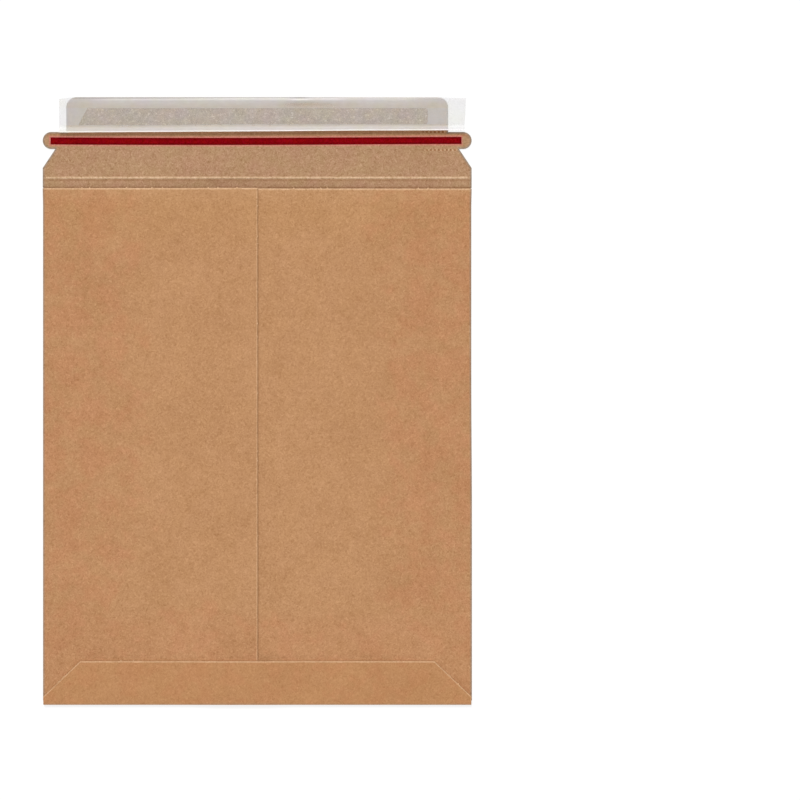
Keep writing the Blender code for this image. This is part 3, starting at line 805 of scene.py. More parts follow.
def make_adhesive():
    left_side, right_side = adhesive_sides()
    lower = [(x, adhesive_bottom(x)) for x in spaced([left_side[0][0], right_side[0][0]], PANEL_STEP)]
    bm = bmesh.new()
    face = bm.faces.new([bm.verts.new((x, y, BOARD)) for x, y in [*lower, *right_side[1:], left_side[1]]])
    pulled = bmesh.ops.extrude_face_region(bm, geom=[face])
    top = [item for item in pulled["geom"] if isinstance(item, bmesh.types.BMVert)]
    bmesh.ops.translate(bm, verts=top, vec=(0, 0, adhesive_high.z - BOARD))
    bmesh.ops.recalc_face_normals(bm, faces=bm.faces)
    adhesive = finished(object_from("adhesive", bm, [clear_glue()]))
    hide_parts("seal_adhesive")
    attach(adhesive, "flap")


def liner_edges(x):
    """(lower, upper) y of the liner's long edges. The upper one falls away at the loose ends."""
    share = (x - liner_low.x) / (liner_high.x - liner_low.x)
    reach = SEAL_WIDTH / 2 - LINER_DROP_INSET
    drop = (LINER_DROP_LEFT * smooth((-reach - x) / LINER_DROP_RUN)
            + LINER_DROP_RIGHT * smooth((x - reach) / LINER_DROP_RUN))
    low = liner_low.y - LINER_DROOP + LINER_TILT_LOW * share
    low += LINER_RISE * math.exp(-((x - LINER_RISE_X) / LINER_RISE_REACH) ** 2)
    return low, cad_high.y - LINER_TOP_MARGIN - drop


def ripple(x, share):
    """Small waves of the liner's free margins, growing towards their edges."""
    wave = sum(math.sin(x / length + turn) for length, turn in LINER_WAVES) / len(LINER_WAVES)
    return LINER_RIPPLE * share * wave


def crumple(x, share):
    """The one larger buckle in the upper margin."""
    return LINER_BUCKLE * share * math.exp(-((x - LINER_BUCKLE_X) / LINER_BUCKLE_REACH) ** 2)


def bump_at(value, centre, reach):
    """1 at the centre, falling straight to 0 at the reach on both sides."""
    return max(0.0, 1 - abs(value - centre) / reach)


def hill_at(value, centre, reach):
    """1 at the centre, falling away softly on both sides."""
    return math.exp(-((value - centre) / reach) ** 2)


def low_marks(x, t):
    """The lower margin's marks at the share t of its width."""
    lift = LOW_LIFT_LEFT + (LOW_LIFT_RIGHT - LOW_LIFT_LEFT) * smooth((x - LOW_LIFT_AT) / LOW_LIFT_RUN)
    return {"lift": lift * t ** 2, "rim": smooth((t - LOW_RIM_START) / (1 - LOW_RIM_START)),
            "warm": min(1.0, 16 * t) * (1 - smooth((t - 0.15) / 0.5))}


def top_marks(x, t):
    """The upper margin's marks: painted highlight lines near its edge, painted shade along its edge at the left, the
    buckle's painted glint and its smear, and a lift that is partly painted light.
    """
    smear = hill_at(x, LINER_BUCKLE_X, BUCKLE_SMEAR_LEFT if x < LINER_BUCKLE_X else BUCKLE_SMEAR_RIGHT)
    glint = hill_at(x, LINER_BUCKLE_X, BUCKLE_GLINT_REACH)
    ends = smooth((abs(x) - 92 * MM) / (22 * MM))
    right = smooth((x - 50 * MM) / (12 * MM))
    left = 1 - smooth((x + 10 * MM) / (70 * MM))
    middle = smooth((x + 85 * MM) / (75 * MM)) * (1 - 0.6 * right) * (1 - glint)
    lift = TOP_LIFT * t * (1 - TOP_FALL * smooth((t - TOP_RIM_AT) / (1 - TOP_RIM_AT))) * (1 - 0.5 * ends)
    lines = (TOP_RIM * (1 - 0.5 * right) * bump_at(t, TOP_RIM_AT, TOP_RIM_REACH)
             + EDGE_RIM * middle * bump_at(t, EDGE_RIM_AT, 0.08))
    return {
        "lift": lift - BUCKLE_SMEAR * smear * bump_at(t, 0.35, 0.4),
        "rim": lines * (1 - ends) + glint * bump_at(t, 0.83, 0.12) + right * smooth((t - 0.93) / 0.04),
        "warm": min(1.0, 16 * t) * (1 - smooth((t - 0.4) / 0.4)),
        "edge": min(1.0, (0.5 * left + glint) * smooth((t - 0.92) / 0.05)
                    + 0.2 * smooth((-92 * MM - x) / (15 * MM)) * bump_at(t, 0.92, 0.08)),
    }


def on_board(x, y):
    """Whether the board's seal panel lies behind this place of the liner."""
    across = max(0.0, abs(x) - SEAL_WIDTH / 2 + SEAL_CORNER)
    up = max(0.0, y - cad_high.y + SEAL_CORNER)
    return math.hypot(across, up) <= SEAL_CORNER


def liner_vertex(bm, x, y, rise, marks):
    """A vertex of the liner. Its right end leans: the lower corner stands further in than the upper one."""
    low, high = liner_edges(x)
    beyond = max(0.0, (x - adhesive_high.x) / (liner_high.x - adhesive_high.x))
    lean = LINER_END_SLANT * beyond * (high - y) / (high - low)
    made = bm.verts.new((x - lean, y, LINER_LEVEL + rise))
    behind = on_board(x, y)
    for name, value in marks.items():
        loose = LOOSE_RIM * value if name == "rim" and y < adhesive_low.y else 0.0
        made[bm.verts.layers.float[name]] = value if behind else loose
    return made


def liner_margins(bm, columns):
    """The two free margins, milkier where they stand clear of the board. Returns their rows along the adhesive."""
    lower, upper = [], []
    for n in range(LINER_ROWS + 1):
        t = n / LINER_ROWS
        lower_row, upper_row = [], []
        for x in columns:
            low, high = liner_edges(x)
            y = adhesive_bottom(x) + (low - adhesive_bottom(x)) * t
            lower_row.append(liner_vertex(bm, x, y, LINER_CURL_LOW * t ** 2 + ripple(x, t), low_marks(x, t)))
            y = adhesive_high.y + (high - adhesive_high.y) * t
            rise = LINER_CURL_TOP * t ** 2 + ripple(-x, t) + crumple(x, t ** 2)
            upper_row.append(liner_vertex(bm, x, y, rise, top_marks(x, t)))
        lower.append(lower_row)
        upper.append(upper_row)
    for rows in (lower, upper):
        for row, beyond in zip(rows, rows[1:]):
            for a, b, c, d in zip(row, row[1:], beyond[1:], beyond):
                bm.faces.new((a, b, c, d))
    return lower[0], upper[0]


def fill(bm, loop, material_index):
    """One flat stretch of the liner inside a loop of vertices."""
    edges = [bm.edges.get(pair) or bm.edges.new(pair) for pair in zip(loop, loop[1:] + loop[:1])]
    made = bmesh.ops.triangle_fill(bm, edges=edges, use_beauty=True, normal=(0, 0, 1))
    for item in made["geom"]:
        if isinstance(item, bmesh.types.BMFace):
            item.material_index = material_index


def make_liner():
    """The release liner: flat where the adhesive wets it, with both free margins curling up."""
    (left, _), (left_top, _) = adhesive_sides()[0]
    inner = adhesive_high.x - ADHESIVE_CORNER
    ends = [side * (SEAL_WIDTH / 2 - SEAL_CORNER * n / 8) for side in (-1, 1) for n in range(-1, 9)]
    columns = spaced(sorted([liner_low.x, left, left_top, inner, liner_high.x, *ends]), LINER_STEP)
    bm = bmesh.new()
    for name in LINER_MARKS:
        bm.verts.layers.float.new(name)
    low_row, high_row = liner_margins(bm, columns)
    at = {name: min(range(len(columns)), key=lambda n: abs(columns[n] - x))
          for name, x in (("left", left), ("left_top", left_top), ("inner", inner))}
    bulge = [bm.verts.new((x, y, LINER_LEVEL)) for x, y in adhesive_sides()[1][1:-1]]
    wetted = low_row[at["left"]:at["inner"] + 1] + bulge + high_row[at["left_top"]:at["inner"] + 1][::-1]
    fill(bm, wetted, 1)
    fill(bm, low_row[:at["left"] + 1] + high_row[:at["left_top"] + 1][::-1], 0)
    fill(bm, low_row[at["inner"]:] + high_row[at["inner"]:][::-1] + bulge[::-1], 0)
    bmesh.ops.recalc_face_normals(bm, faces=bm.faces)
    films = [liner_film("loose_liner", LOOSE_VEIL, 0.22), liner_film("wetted_liner", WETTED_VEIL, 0.1)]
    liner = object_from("liner", bm, films)
    thicken(liner, LINER_THICKNESS)
    finished(liner)
    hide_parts("release_liner")
    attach(liner, "flap")


class Paint:
    """A material, and short ways to add the nodes that feed its shader. Sizes in it are in millimetres."""

    def __init__(self, name):
        self.material = bpy.data.materials.new(name)
        self.material.use_nodes = True
        self.tree = self.material.node_tree
        self.shader = self.tree.nodes["Principled BSDF"]

    def feed(self, socket, value):
        if isinstance(value, bpy.types.NodeSocket):
            self.tree.links.new(value, socket)
        else:
            socket.default_value = value

    def node(self, kind, **settings):
        made = self.tree.nodes.new(kind)
        for name, value in settings.items():
            setattr(made, name, value)
        return made

    def set(self, **values):
        """Feeds the shader's sockets, named with _ for each space."""
        for name, value in values.items():
            self.feed(self.shader.inputs[name.replace("_", " ")], value)

    def math(self, operation, *values, clamp=False):
        made = self.node("ShaderNodeMath", operation=operation, use_clamp=clamp)
        for socket, value in zip(made.inputs, values):
            self.feed(socket, value)
        return made.outputs[0]

    def mark(self, name):
        return self.node("ShaderNodeAttribute", attribute_name=name).outputs["Fac"]

    def scaled(self, vector, x, y, z):
        made = self.node("ShaderNodeVectorMath", operation="MULTIPLY")
        self.feed(made.inputs[0], vector)
        self.feed(made.inputs[1], (x, y, z))
        return made.outputs[0]

    def times(self, one, other):
        """Two colours or vectors multiplied, channel by channel."""
        made = self.node("ShaderNodeVectorMath", operation="MULTIPLY")
        self.feed(made.inputs[0], one)
        self.feed(made.inputs[1], other)
        return made.outputs[0]

    def turned(self, vector, degrees):
        made = self.node("ShaderNodeVectorRotate", rotation_type="Z_AXIS")
        self.feed(made.inputs["Vector"], vector)
        self.feed(made.inputs["Angle"], math.radians(degrees))
        return made.outputs[0]

    def blank(self):
        """The place on the flat blank, in millimetres."""
        flat = self.node("ShaderNodeAttribute", attribute_name="blank").outputs["Vector"]
        return self.scaled(flat, 1 / MM, 1 / MM, 1 / MM)

    def place(self):
        """The place on a flat piece, in millimetres."""
        own = self.node("ShaderNodeTexCoord").outputs["Object"]
        return self.scaled(own, 1 / MM, 1 / MM, 1 / MM)

    def parts(self, vector):
        """The x, y and z of a vector, each a socket."""
        made = self.node("ShaderNodeSeparateXYZ")
        self.feed(made.inputs[0], vector)
        return made.outputs

    def warped(self, vector, size, reach):
        """The vector pushed about in swirls of about the given size, each way by up to half of reach."""
        push = self.node("ShaderNodeTexNoise")
        self.feed(push.inputs["Vector"], vector)
        push.inputs["Scale"].default_value = 1 / size
        push.inputs["Detail"].default_value = 0.0
        made = self.node("ShaderNodeVectorMath", operation="MULTIPLY_ADD")
        self.feed(made.inputs[0], push.outputs["Color"])
        self.feed(made.inputs[1], (reach, reach, reach))
        self.feed(made.inputs[2], vector)
        return made.outputs[0]

    def strands(self, vector, degrees, width, length):
        """Noise about 0 whose lumps are drawn out one way, like fibres in paper."""
        along = self.scaled(self.turned(vector, degrees), 1 / length, 1 / width, 1 / width)
        return self.noise(along, 1.0, 0.0)

    def hairs(self, vector, size, width, low, high):
        """0 to 1: thin curled strokes along a noise's level line, where another noise lies above low to high."""
        distance = self.math("ABSOLUTE", self.noise(vector, size, 1.0))
        chosen = self.fade(self.noise(self.turned(vector, 77), 1.2 * size, 0.0), low, high)
        return self.math("MULTIPLY", self.fade(distance, width, 0.3 * width), chosen)

    def away(self, value, centre, half):
        """How far a coordinate lies outside the stretch of the given half width about the centre."""
        distance = self.math("ABSOLUTE", self.math("SUBTRACT", value, centre))
        return self.math("SUBTRACT", distance, half)

    def noise(self, vector, size, detail=2.0, roughness=0.5):
        """Noise about 0, mostly within 0.25 of it, with lumps of about the given size."""
        made = self.node("ShaderNodeTexNoise")
        self.feed(made.inputs["Vector"], vector)
        made.inputs["Scale"].default_value = 1 / size
        made.inputs["Detail"].default_value = detail
        made.inputs["Roughness"].default_value = roughness
        return self.math("SUBTRACT", made.outputs["Fac"], 0.5)

    def fibres(self, vector, degrees, width, length, low, high):
        """0 to 1: thin strokes lying one way, with low and high as the noise levels where they fade in."""
        along = self.scaled(self.turned(vector, degrees), 1 / length, 1 / width, 1 / width)
        made = self.node("ShaderNodeTexNoise")
        self.feed(made.inputs["Vector"], along)
        made.inputs["Scale"].default_value = 1.0
        made.inputs["Detail"].default_value = 1.0
        return self.fade(made.outputs["Fac"], low, high)

    def fade(self, value, low, high):
        """0 below low, 1 above high, with a smooth rise between."""
        made = self.node("ShaderNodeMapRange", interpolation_type="SMOOTHSTEP")
        self.feed(made.inputs["Value"], value)
        made.inputs["From Min"].default_value = low
        made.inputs["From Max"].default_value = high
        return made.outputs["Result"]

    def flecks(self, vector, spacing, radius, share):
        """0 to 1: small round specks on a share of the cells of the given spacing."""
        made = self.node("ShaderNodeTexVoronoi")
        self.feed(made.inputs["Vector"], vector)
        made.inputs["Scale"].default_value = 1 / spacing
        near = self.fade(made.outputs["Distance"], radius / spacing, 0.4 * radius / spacing)
        parts = self.node("ShaderNodeSeparateColor")
        self.feed(parts.inputs["Color"], made.outputs["Color"])
        chosen = self.math("LESS_THAN", parts.outputs["Red"], share)
        return self.math("MULTIPLY", near, chosen)

    def total(self, *terms):
        """The sum of (value, gain) pairs."""
        result = 0.0
        for value, gain in terms:
            result = self.math("MULTIPLY_ADD", value, gain, result)
        return result

    def mixed(self, amount, under, over):
        made = self.node("ShaderNodeMix", data_type="RGBA")
        self.feed(made.inputs["Factor"], amount)
        self.feed(made.inputs["A"], (*under, 1.0) if isinstance(under, tuple) else under)
        self.feed(made.inputs["B"], (*over, 1.0) if isinstance(over, tuple) else over)
        return made.outputs["Result"]

    def toned(self, colour, tone, spread=(1.0, 1.0, 1.0)):
        """The colour times one plus tone. spread is how strongly each of its channels follows."""
        made = self.node("ShaderNodeVectorMath", operation="MULTIPLY_ADD")
        for socket, value in zip(made.inputs, (tone, spread, (1.0, 1.0, 1.0))):
            self.feed(socket, value)
        return self.times(colour, made.outputs[0])

    def bump(self, height, distance, strength=1.0):
        made = self.node("ShaderNodeBump")
        self.feed(made.inputs["Height"], height)
        made.inputs["Distance"].default_value = distance
        made.inputs["Strength"].default_value = strength
        return made.outputs["Normal"]


def kraft(name, tints, warmth_and_shade, grain_gain, strand_width, cloud_gain, wear_and_light):
    """Kraft paper's surface. tints are the cool and warm ones that warmth chooses between, which also gives painted
    shade near the folds; wear paints the rest, painted highlights and shade among it.
    """
    paint = Paint(name)
    blank = paint.blank()
    drift = paint.warped(blank, 3.0, 2.4)
    strands = [paint.strands(drift, degrees, strand_width, 3 * strand_width) for degrees in STRAND_LAY]
    fine = paint.noise(blank, 0.65, 1.0, 0.6)
    lump = paint.noise(blank, 3.6, 1.0)
    cloud = paint.noise(blank, 9.0, 2.0)
    broad = paint.noise(blank, 45.0, 1.0)
    ruddy, dim = warmth_and_shade(paint, blank)
    light_hairs = paint.hairs(drift, 1.3, 0.09, 0.0, 0.1)
    dark_hairs = paint.hairs(paint.turned(drift, 140), 1.2, 0.09, 0.0, 0.1)
    dark_flecks = paint.flecks(blank, 4.5, 0.42, 0.25)
    calm = paint.math("MULTIPLY_ADD", paint.mark("bottom_flap"), BOTTOM_FLAP_CALM - 1.0, 1.0)
    grain = paint.total(*[(strand, 0.5) for strand in strands], (fine, 1.8), (lump, 0.6),
                        (light_hairs, HAIR_TONE), (dark_hairs, -HAIR_TONE))
    tone = paint.total((grain, grain_gain), (cloud, cloud_gain), (broad, 0.85 * cloud_gain), (dark_flecks, -0.12))
    tone = paint.total((paint.math("MULTIPLY", tone, calm), 1.0), (dim, -FOLD_PAINTED_SHADE))
    yellow = paint.fade(paint.noise(paint.turned(blank, 90), 14.0, 3.0), -0.2, 0.2)
    colour = paint.times(paint.mixed(ruddy, *tints), paint.mixed(yellow, *KRAFT_YELLOWS))
    colour = paint.times(colour, paint.mixed(paint.mark("bottom_flap"), (1.0, 1.0, 1.0), BOTTOM_FLAP_HUE))
    colour = wear_and_light(paint, blank, colour)
    paint.set(Base_Color=paint.toned(colour, tone, KRAFT_SPREAD), Roughness=0.82, Specular_IOR_Level=0.3,
              Normal=paint.bump(grain, 0.03 * MM))
    return paint.material


def outer_warmth_and_shade(paint, blank):
    """How warm the outer face is, in patches near its folds, and how much painted shade darkens it beside them, each 0
    to 1.
    """
    x, y, _ = paint.parts(blank)
    from_side = paint.away(paint.math("ABSOLUTE", x), (FOLD_X + FOLD_LENGTH / 2) / MM, 0.0)
    from_bottom = paint.away(y, BOTTOM_Y / MM, 0.0)
    from_fold = paint.math("MINIMUM", from_side, from_bottom)
    from_fold = paint.total((paint.noise(blank, 38.0, 2.0), 70.0), (from_fold, 1.0))
    hue = paint.noise(blank, 15.0, 4.0, 0.6)
    patches = paint.fade(paint.total((hue, 1.0), (paint.fade(from_fold, 82.0, 42.0), 0.3)), 0.16, 0.44)
    ruddy = paint.math("ADD", paint.total((patches, 1.05), (hue, 0.3)), 0.05, clamp=True)
    least = paint.math("MULTIPLY", paint.fade(from_bottom, 66.0, 48.0), 0.45)
    return paint.math("MAXIMUM", ruddy, least), paint.fade(from_fold, 80.0, 22.0)


def inner_warmth(paint, blank):
    """The same for the inner face, which is as warm everywhere."""
    hue = paint.noise(paint.turned(blank, 90), 16.0, 4.0, 0.6)
    return paint.math("MULTIPLY_ADD", hue, 2.9, 0.45, clamp=True), 0.0


def outer_wear_and_light(paint, blank, colour):
    """The outer face's colour with its pale edges, rubbed and with a painted highlight, painted shade along its folds
    and beside steps, and painted light just above the bottom flap's edge.
    """
    edge_band = paint.math("MULTIPLY_ADD", paint.noise(blank, 2.2), 1.6, 1.0)
    patchy = paint.math("MULTIPLY_ADD", paint.noise(blank, 2.0), 3.0, 1.0)
    pale = paint.math("MULTIPLY", paint.mark("pale_edge"), edge_band, clamp=True)
    shade = paint.math("MULTIPLY", paint.mark("shade"), patchy, clamp=True)
    _, y, _ = paint.parts(blank)
    near_mouth = paint.fade(y, (MOUTH_Y - GOLD_REACH) / MM, (MOUTH_Y - GOLD_FULL) / MM)
    colour = paint.times(colour, paint.mixed(near_mouth, (1.0, 1.0, 1.0), GOLD_HUE))
    colour = paint.toned(colour, paint.math("MULTIPLY", above_bottom_flap(paint, blank), STEP_PAINTED_LIGHT))
    colour = paint.mixed(paint.math("MULTIPLY", pale, 0.65), colour, PALE_BOARD)
    colour = paint.mixed(paint.math("MULTIPLY", paint.mark("dull_edge"), 0.85), colour, EDGE_SHADE_BOARD)
    colour = paint.mixed(paint.math("MULTIPLY", shade, 0.5), colour, SHADE_BOARD)
    return perforated(paint, blank, colour)


def inner_wear_and_light(paint, blank, colour):
    """The inner face's colour with the bead's pale crest, rubbed and with a painted highlight, painted shade on the
    outline and in lines, painted shade under the liner, and the tape's blush.
    """
    edge_band = paint.math("MULTIPLY_ADD", paint.noise(blank, 2.2), 1.6, 1.0)
    patchy = paint.math("MULTIPLY_ADD", paint.noise(blank, 3.5), 2.0, 1.0)
    crest = paint.math("MULTIPLY", paint.mark("crest"), edge_band, clamp=True)
    shade = paint.math("MULTIPLY", paint.mark("inner_shade"), patchy, clamp=True)
    _, y, _ = paint.parts(blank)
    blush = paint.fade(beyond_tape(paint, blank), 1.5, 0.3)
    under_liner = paint.fade(paint.away(y, (CREASE_Y + UPPER_PERFORATION - WARM_STRIP) / MM, WARM_STRIP / MM), 1.0, 0.0)
    colour = paint.times(colour, paint.mixed(under_liner, (1.0, 1.0, 1.0), LINER_SHADE_HUE))
    colour = paint.mixed(paint.math("MULTIPLY", crest, 0.6), colour, CREASE_WEAR_AND_HIGHLIGHT)
    colour = paint.mixed(paint.math("MULTIPLY", paint.mark("dull_edge"), 0.85), colour, EDGE_SHADE_BOARD)
    colour = paint.mixed(paint.math("MULTIPLY", shade, 0.5), colour, INNER_SHADE)
    colour = paint.mixed(paint.math("MULTIPLY", blush, 0.9), colour, TAPE_BLUSH)
    return perforated(paint, blank, colour)


def above_bottom_flap(paint, blank):
    """1 on the half panels along the bottom flap's edge, fading away from it: where the painted light is laid."""
    x, y, _ = paint.parts(blank)
    start, end = FOLD_X + FOLD_LENGTH, 2 * FOLD_X + FOLD_LENGTH
    beyond = paint.math("SUBTRACT", paint.math("ABSOLUTE", x), start / MM)
    across = paint.math("SUBTRACT", (end - start) / MM, beyond)
    slant = (BOTTOM_FLAP_HEIGHT - BOTTOM_FLAP_SIDE) / BOTTOM_FLAP_RUN
    corner = paint.math("SUBTRACT", (HALF_WIDTH - BOTTOM_FLAP_INSET) / MM, across)
    edge = paint.math("MINIMUM", paint.math("MULTIPLY_ADD", corner, slant, (BOTTOM_Y + BOTTOM_FLAP_SIDE) / MM),
                      FLAP_TOP_Y / MM)
    above = paint.math("SUBTRACT", y, edge)
    line = paint.math("MULTIPLY", paint.fade(above, STEP_PAINTED_LIGHT_REACH / MM, 0.5 * STEP_PAINTED_LIGHT_REACH / MM),
                      paint.fade(above, 0.2, 0.8))
    return paint.math("MULTIPLY", line, paint.math("GREATER_THAN", beyond, 0.0))


def beyond_tape(paint, place):
    """How far a place in millimetres lies outside the tape's outline, less than 0 inside it."""
    x, y, _ = paint.parts(place)
    bow = paint.math("SINE", paint.math("MULTIPLY_ADD", x, MM / TAPE_BOW_LENGTH, TAPE_BOW_START / TAPE_BOW_LENGTH))
    y = paint.math("MULTIPLY_ADD", bow, TAPE_BOW / MM, y)
    centre, half = (tape_low + tape_high) / 2, (tape_high - tape_low) / 2
    return paint.math("MAXIMUM", paint.away(x, centre.x / MM, half.x / MM),
                      paint.away(y, centre.y / MM, half.y / MM))


def perforated(paint, blank, colour):
    """The colour with painted shade for the perforations' dark cuts and the pale board between them, clear at the right
    end.
    """
    x, y, _ = paint.parts(blank)
    for height, half_length, strength in PERFORATIONS:
        opened = paint.fade(x, SLIT_OPENS_AT / MM, (SLIT_OPENS_AT + SLIT_OPENS_OVER) / MM)
        opened = paint.math("MULTIPLY_ADD", opened, 0.92, 0.08)
        first = slit_centres(half_length)[0] / MM
        along = paint.math("PINGPONG", paint.math("SUBTRACT", x, first), SLIT_PITCH / 2 / MM)
        in_slit = paint.fade(along, SLIT_LENGTH / 2 / MM + 0.15, SLIT_LENGTH / 2 / MM - 0.15)
        in_reach = paint.fade(paint.away(x, 0.0, half_length / MM - 1.5), 0.3, 0.0)
        in_line = paint.fade(paint.away(y, (height - CUT_DROP) / MM, CUT_HALF / MM), 0.3, 0.0)
        here = paint.math("MULTIPLY", paint.math("MULTIPLY", in_reach, in_line), opened)
        cut = paint.math("MULTIPLY", here, in_slit)
        between = paint.math("SUBTRACT", here, cut)
        colour = paint.mixed(paint.math("MULTIPLY", between, 0.35), colour, PALE_BOARD)
        colour = paint.mixed(paint.math("MULTIPLY", cut, strength), colour, SHADE_BOARD)
    return colour


def outer_kraft():
    return kraft("outer_kraft", OUTER_TINTS, outer_warmth_and_shade, 0.202, 1.0, 0.22, outer_wear_and_light)


def inner_kraft():
    return kraft("inner_kraft", INNER_TINTS, inner_warmth, 0.262, 0.85, 0.14, inner_wear_and_light)


def cut_board():
    """The cut edge, where the plies show as thin streaks along it, with painted shade deep in the slits and on the
    shaded outline.
    """
    paint = Paint("cut_board")
    blank = paint.blank()
    plies = paint.noise(paint.scaled(blank, 0.3, 0.3, 6.0), 1.0, 2.0)
    grain = paint.noise(blank, 0.4)
    tone = paint.total((plies, 0.7), (grain, 0.4))
    colour = paint.mixed(paint.math("MULTIPLY", paint.mark("slit"), 0.8), CUT_BOARD, SLIT_SHADE)
    colour = paint.mixed(paint.math("MULTIPLY", paint.mark("dull_edge"), 0.85), colour, EDGE_SHADE_BOARD)
    paint.set(Base_Color=paint.toned(colour, tone), Roughness=0.9, Specular_IOR_Level=0.2,
              Normal=paint.bump(paint.total((plies, 1.0), (grain, 0.6)), 0.08 * MM))
    return paint.material


def red_film():
    """The tape, a little darker towards its long edges and its ends, with a tint that wanders along it."""
    paint = Paint("red_film")
    place = paint.place()
    border = paint.fade(beyond_tape(paint, place), -1.9, -0.4)
    streak = paint.noise(paint.scaled(place, 0.03, 1.4, 1.0), 1.0, 2.0)
    mottle = paint.noise(place, 1.4)
    fine = paint.noise(place, 0.8, 1.0)
    drift = paint.noise(paint.scaled(place, 1.0, 0.4, 1.0), 16.0, 2.0)
    tone = paint.total((streak, 0.5), (border, -0.3), (drift, 0.25))
    hue = paint.fade(paint.noise(paint.turned(place, 90), 2.5), -0.15, 0.15)
    colour = paint.toned(paint.mixed(hue, TAPE_RED, TAPE_CRIMSON), paint.total((mottle, 0.9), (fine, 1.5)), TAPE_SPREAD)
    paint.set(Base_Color=paint.toned(colour, tone), Roughness=paint.math("MULTIPLY_ADD", mottle, 0.3, 0.4),
              Specular_IOR_Level=0.02, Normal=paint.bump(paint.total((streak, 0.5), (mottle, 0.3)), 0.03 * MM))
    return paint.material


def clear_glue():
    """Tacky adhesive on the board, which shows darker through it, with small trapped bubbles."""
    paint = Paint("clear_glue")
    place = paint.place()
    drift = paint.warped(place, 3.0, 2.4)
    strands = [paint.strands(drift, degrees, 1.2, 3.0) for degrees in STRAND_LAY]
    hairs = paint.hairs(drift, 1.5, 0.07, 0.05, 0.15)
    fine = paint.noise(place, 0.7, 1.0)
    grain = paint.total(*[(strand, 0.45) for strand in strands], (paint.noise(place, 6.0, 2.0), 1.2), (hairs, 1.2),
                        (fine, 1.9))
    bubbles = paint.flecks(drift, 1.6, 0.55, 0.4)
    hue = paint.math("MULTIPLY_ADD", paint.noise(place, 12.0, 0.0), 1.8, 0.5, clamp=True)
    colour = paint.mixed(hue, GLUE_COOL, GLUE_WARM)
    yellow = paint.fade(paint.noise(paint.turned(place, 90), 8.0, 0.0), -0.12, 0.12)
    colour = paint.times(colour, paint.mixed(yellow, (1.0, 1.0, 1.0), GLUE_YELLOW))
    colour = paint.mixed(paint.math("MULTIPLY", bubbles, 0.3), colour, GLUE_BUBBLE)
    paint.set(Base_Color=paint.toned(colour, paint.total((grain, 0.5)), GLUE_SPREAD), Roughness=0.3,
              Specular_IOR_Level=0.5,
              Normal=paint.bump(paint.total((grain, 0.6), (bubbles, 0.4)), 0.05 * MM))
    return paint.material


def liner_film(name, veil, unevenness):
    """Translucent film. veil is how much each of its two faces hides of what lies behind. Its rim mark is a painted
    highlight, its edge mark painted shade.
    """
    paint = Paint(name)
    place = paint.place()
    haze = paint.noise(place, 5.0, 2.0)
    streak = paint.noise(paint.scaled(place, 0.05, 0.9, 1.0), 1.0, 2.0)
    uneven = paint.total((haze, unevenness), (streak, 0.5 * unevenness))
    lift, rim = paint.mark("lift"), paint.mark("rim")
    milky = paint.total((lift, LIFTED_VEIL), (rim, RIM_VEIL), (1.0, veil))
    x, _, _ = paint.parts(place)
    film = paint.mixed(paint.fade(paint.away(x, 0.0, SEAL_WIDTH / 2 / MM), 0.0, 0.5), FILM, LOOSE_FILM)
    film = paint.mixed(lift, paint.mixed(paint.mark("warm"), film, WARM_FILM), LIFTED_FILM)
    colour = paint.mixed(rim, paint.mixed(paint.mark("edge"), film, FILM_EDGE_SHADE), FILM_HIGHLIGHT)
    lilac = paint.fade(paint.noise(paint.turned(place, 90), 12.0, 2.0), -0.18, 0.18)
    cream = paint.fade(paint.noise(paint.turned(place, 45), 9.0, 2.0), -0.18, 0.18)
    colour = paint.times(colour, paint.mixed(lilac, *FILM_LILACS))
    colour = paint.times(colour, paint.mixed(cream, *FILM_CREAMS))
    paint.set(Base_Color=colour, Roughness=0.42, Specular_IOR_Level=0.4,
              Alpha=paint.math("MULTIPLY", milky, paint.math("ADD", uneven, 1.0), clamp=True),
              Normal=paint.bump(paint.total((haze, 0.5), (streak, 0.5)), 0.05 * MM))
    return paint.material


def hidden_glue():
    paint = Paint("hot_melt")
    mottle = paint.noise(paint.place(), 2.0)
    paint.set(Base_Color=paint.toned(HOT_MELT, paint.total((mottle, 0.3))), Roughness=0.45,
              Normal=paint.bump(mottle, 0.05 * MM))
    return paint.material


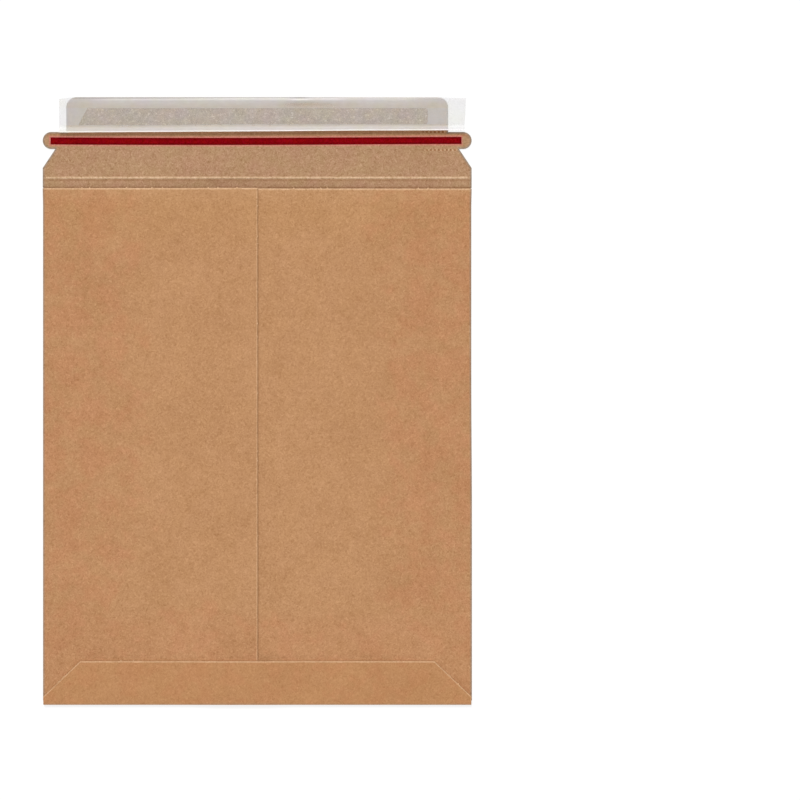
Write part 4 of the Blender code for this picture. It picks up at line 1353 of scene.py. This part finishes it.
def dress_glue():
    """The two bands of glue between the layers keep their own shape."""
    glue = hidden_glue()
    for name in ("seam_glue", "bottom_flap_glue"):
        frame["nodes"][name].data.materials.clear()
        frame["nodes"][name].data.materials.append(glue)


def make_floor():
    """A white floor with a glow of its own, which keeps it white under the mailer's soft shadow."""
    bpy.ops.mesh.primitive_plane_add(size=FLOOR_SIZE, location=(0, 0, 0))
    floor = bpy.context.object
    floor.name = "floor"
    paint = Paint("floor")
    paint.set(Base_Color=(FLOOR_ALBEDO, FLOOR_ALBEDO, FLOOR_ALBEDO, 1.0), Roughness=0.9, Specular_IOR_Level=0.0,
              Emission_Color=(1.0, 1.0, 1.0, 1.0), Emission_Strength=FLOOR_GLOW)
    floor.data.materials.append(paint.material)


def add_light(name, strength, azimuth, elevation):
    """A far soft light: as even over the whole mailer as a large lamp across the studio."""
    data = bpy.data.lights.new(name, "SUN")
    data.energy = strength
    data.angle = LIGHT_SPREAD
    light = bpy.data.objects.new(name, data)
    out = Vector((math.cos(azimuth) * math.cos(elevation), math.sin(azimuth) * math.cos(elevation),
                  math.sin(elevation)))
    light.rotation_euler = out.to_track_quat("Z", "Y").to_euler()
    bpy.context.scene.collection.objects.link(light)


def make_light():
    world = bpy.data.worlds.new("studio")
    world.use_nodes = True
    world.node_tree.nodes["Background"].inputs["Color"].default_value = (1.0, 1.0, 1.0, 1.0)
    world.node_tree.nodes["Background"].inputs["Strength"].default_value = SKY_STRENGTH
    bpy.context.scene.world = world
    add_light("key", KEY_STRENGTH, KEY_AZIMUTH, KEY_ELEVATION)
    add_light("fill", FILL_STRENGTH, FILL_AZIMUTH, FILL_ELEVATION)


def make_camera():
    """Looks straight down at the mailer, as the photograph looks straight at it."""
    data = bpy.data.cameras.new("camera")
    data.lens = LENS
    data.sensor_width = SENSOR
    data.clip_end = 20.0
    camera = bpy.data.objects.new("camera", data)
    camera.location = (VIEW_X, VIEW_Y, FRAME_WIDTH * LENS / SENSOR + BOARD)
    bpy.context.scene.collection.objects.link(camera)
    bpy.context.scene.camera = camera


bpy.context.scene.view_settings.view_transform = "Standard"
make_camera()
make_light()
make_floor()
make_board()
dress_glue()
make_tape()
make_adhesive()
make_liner()
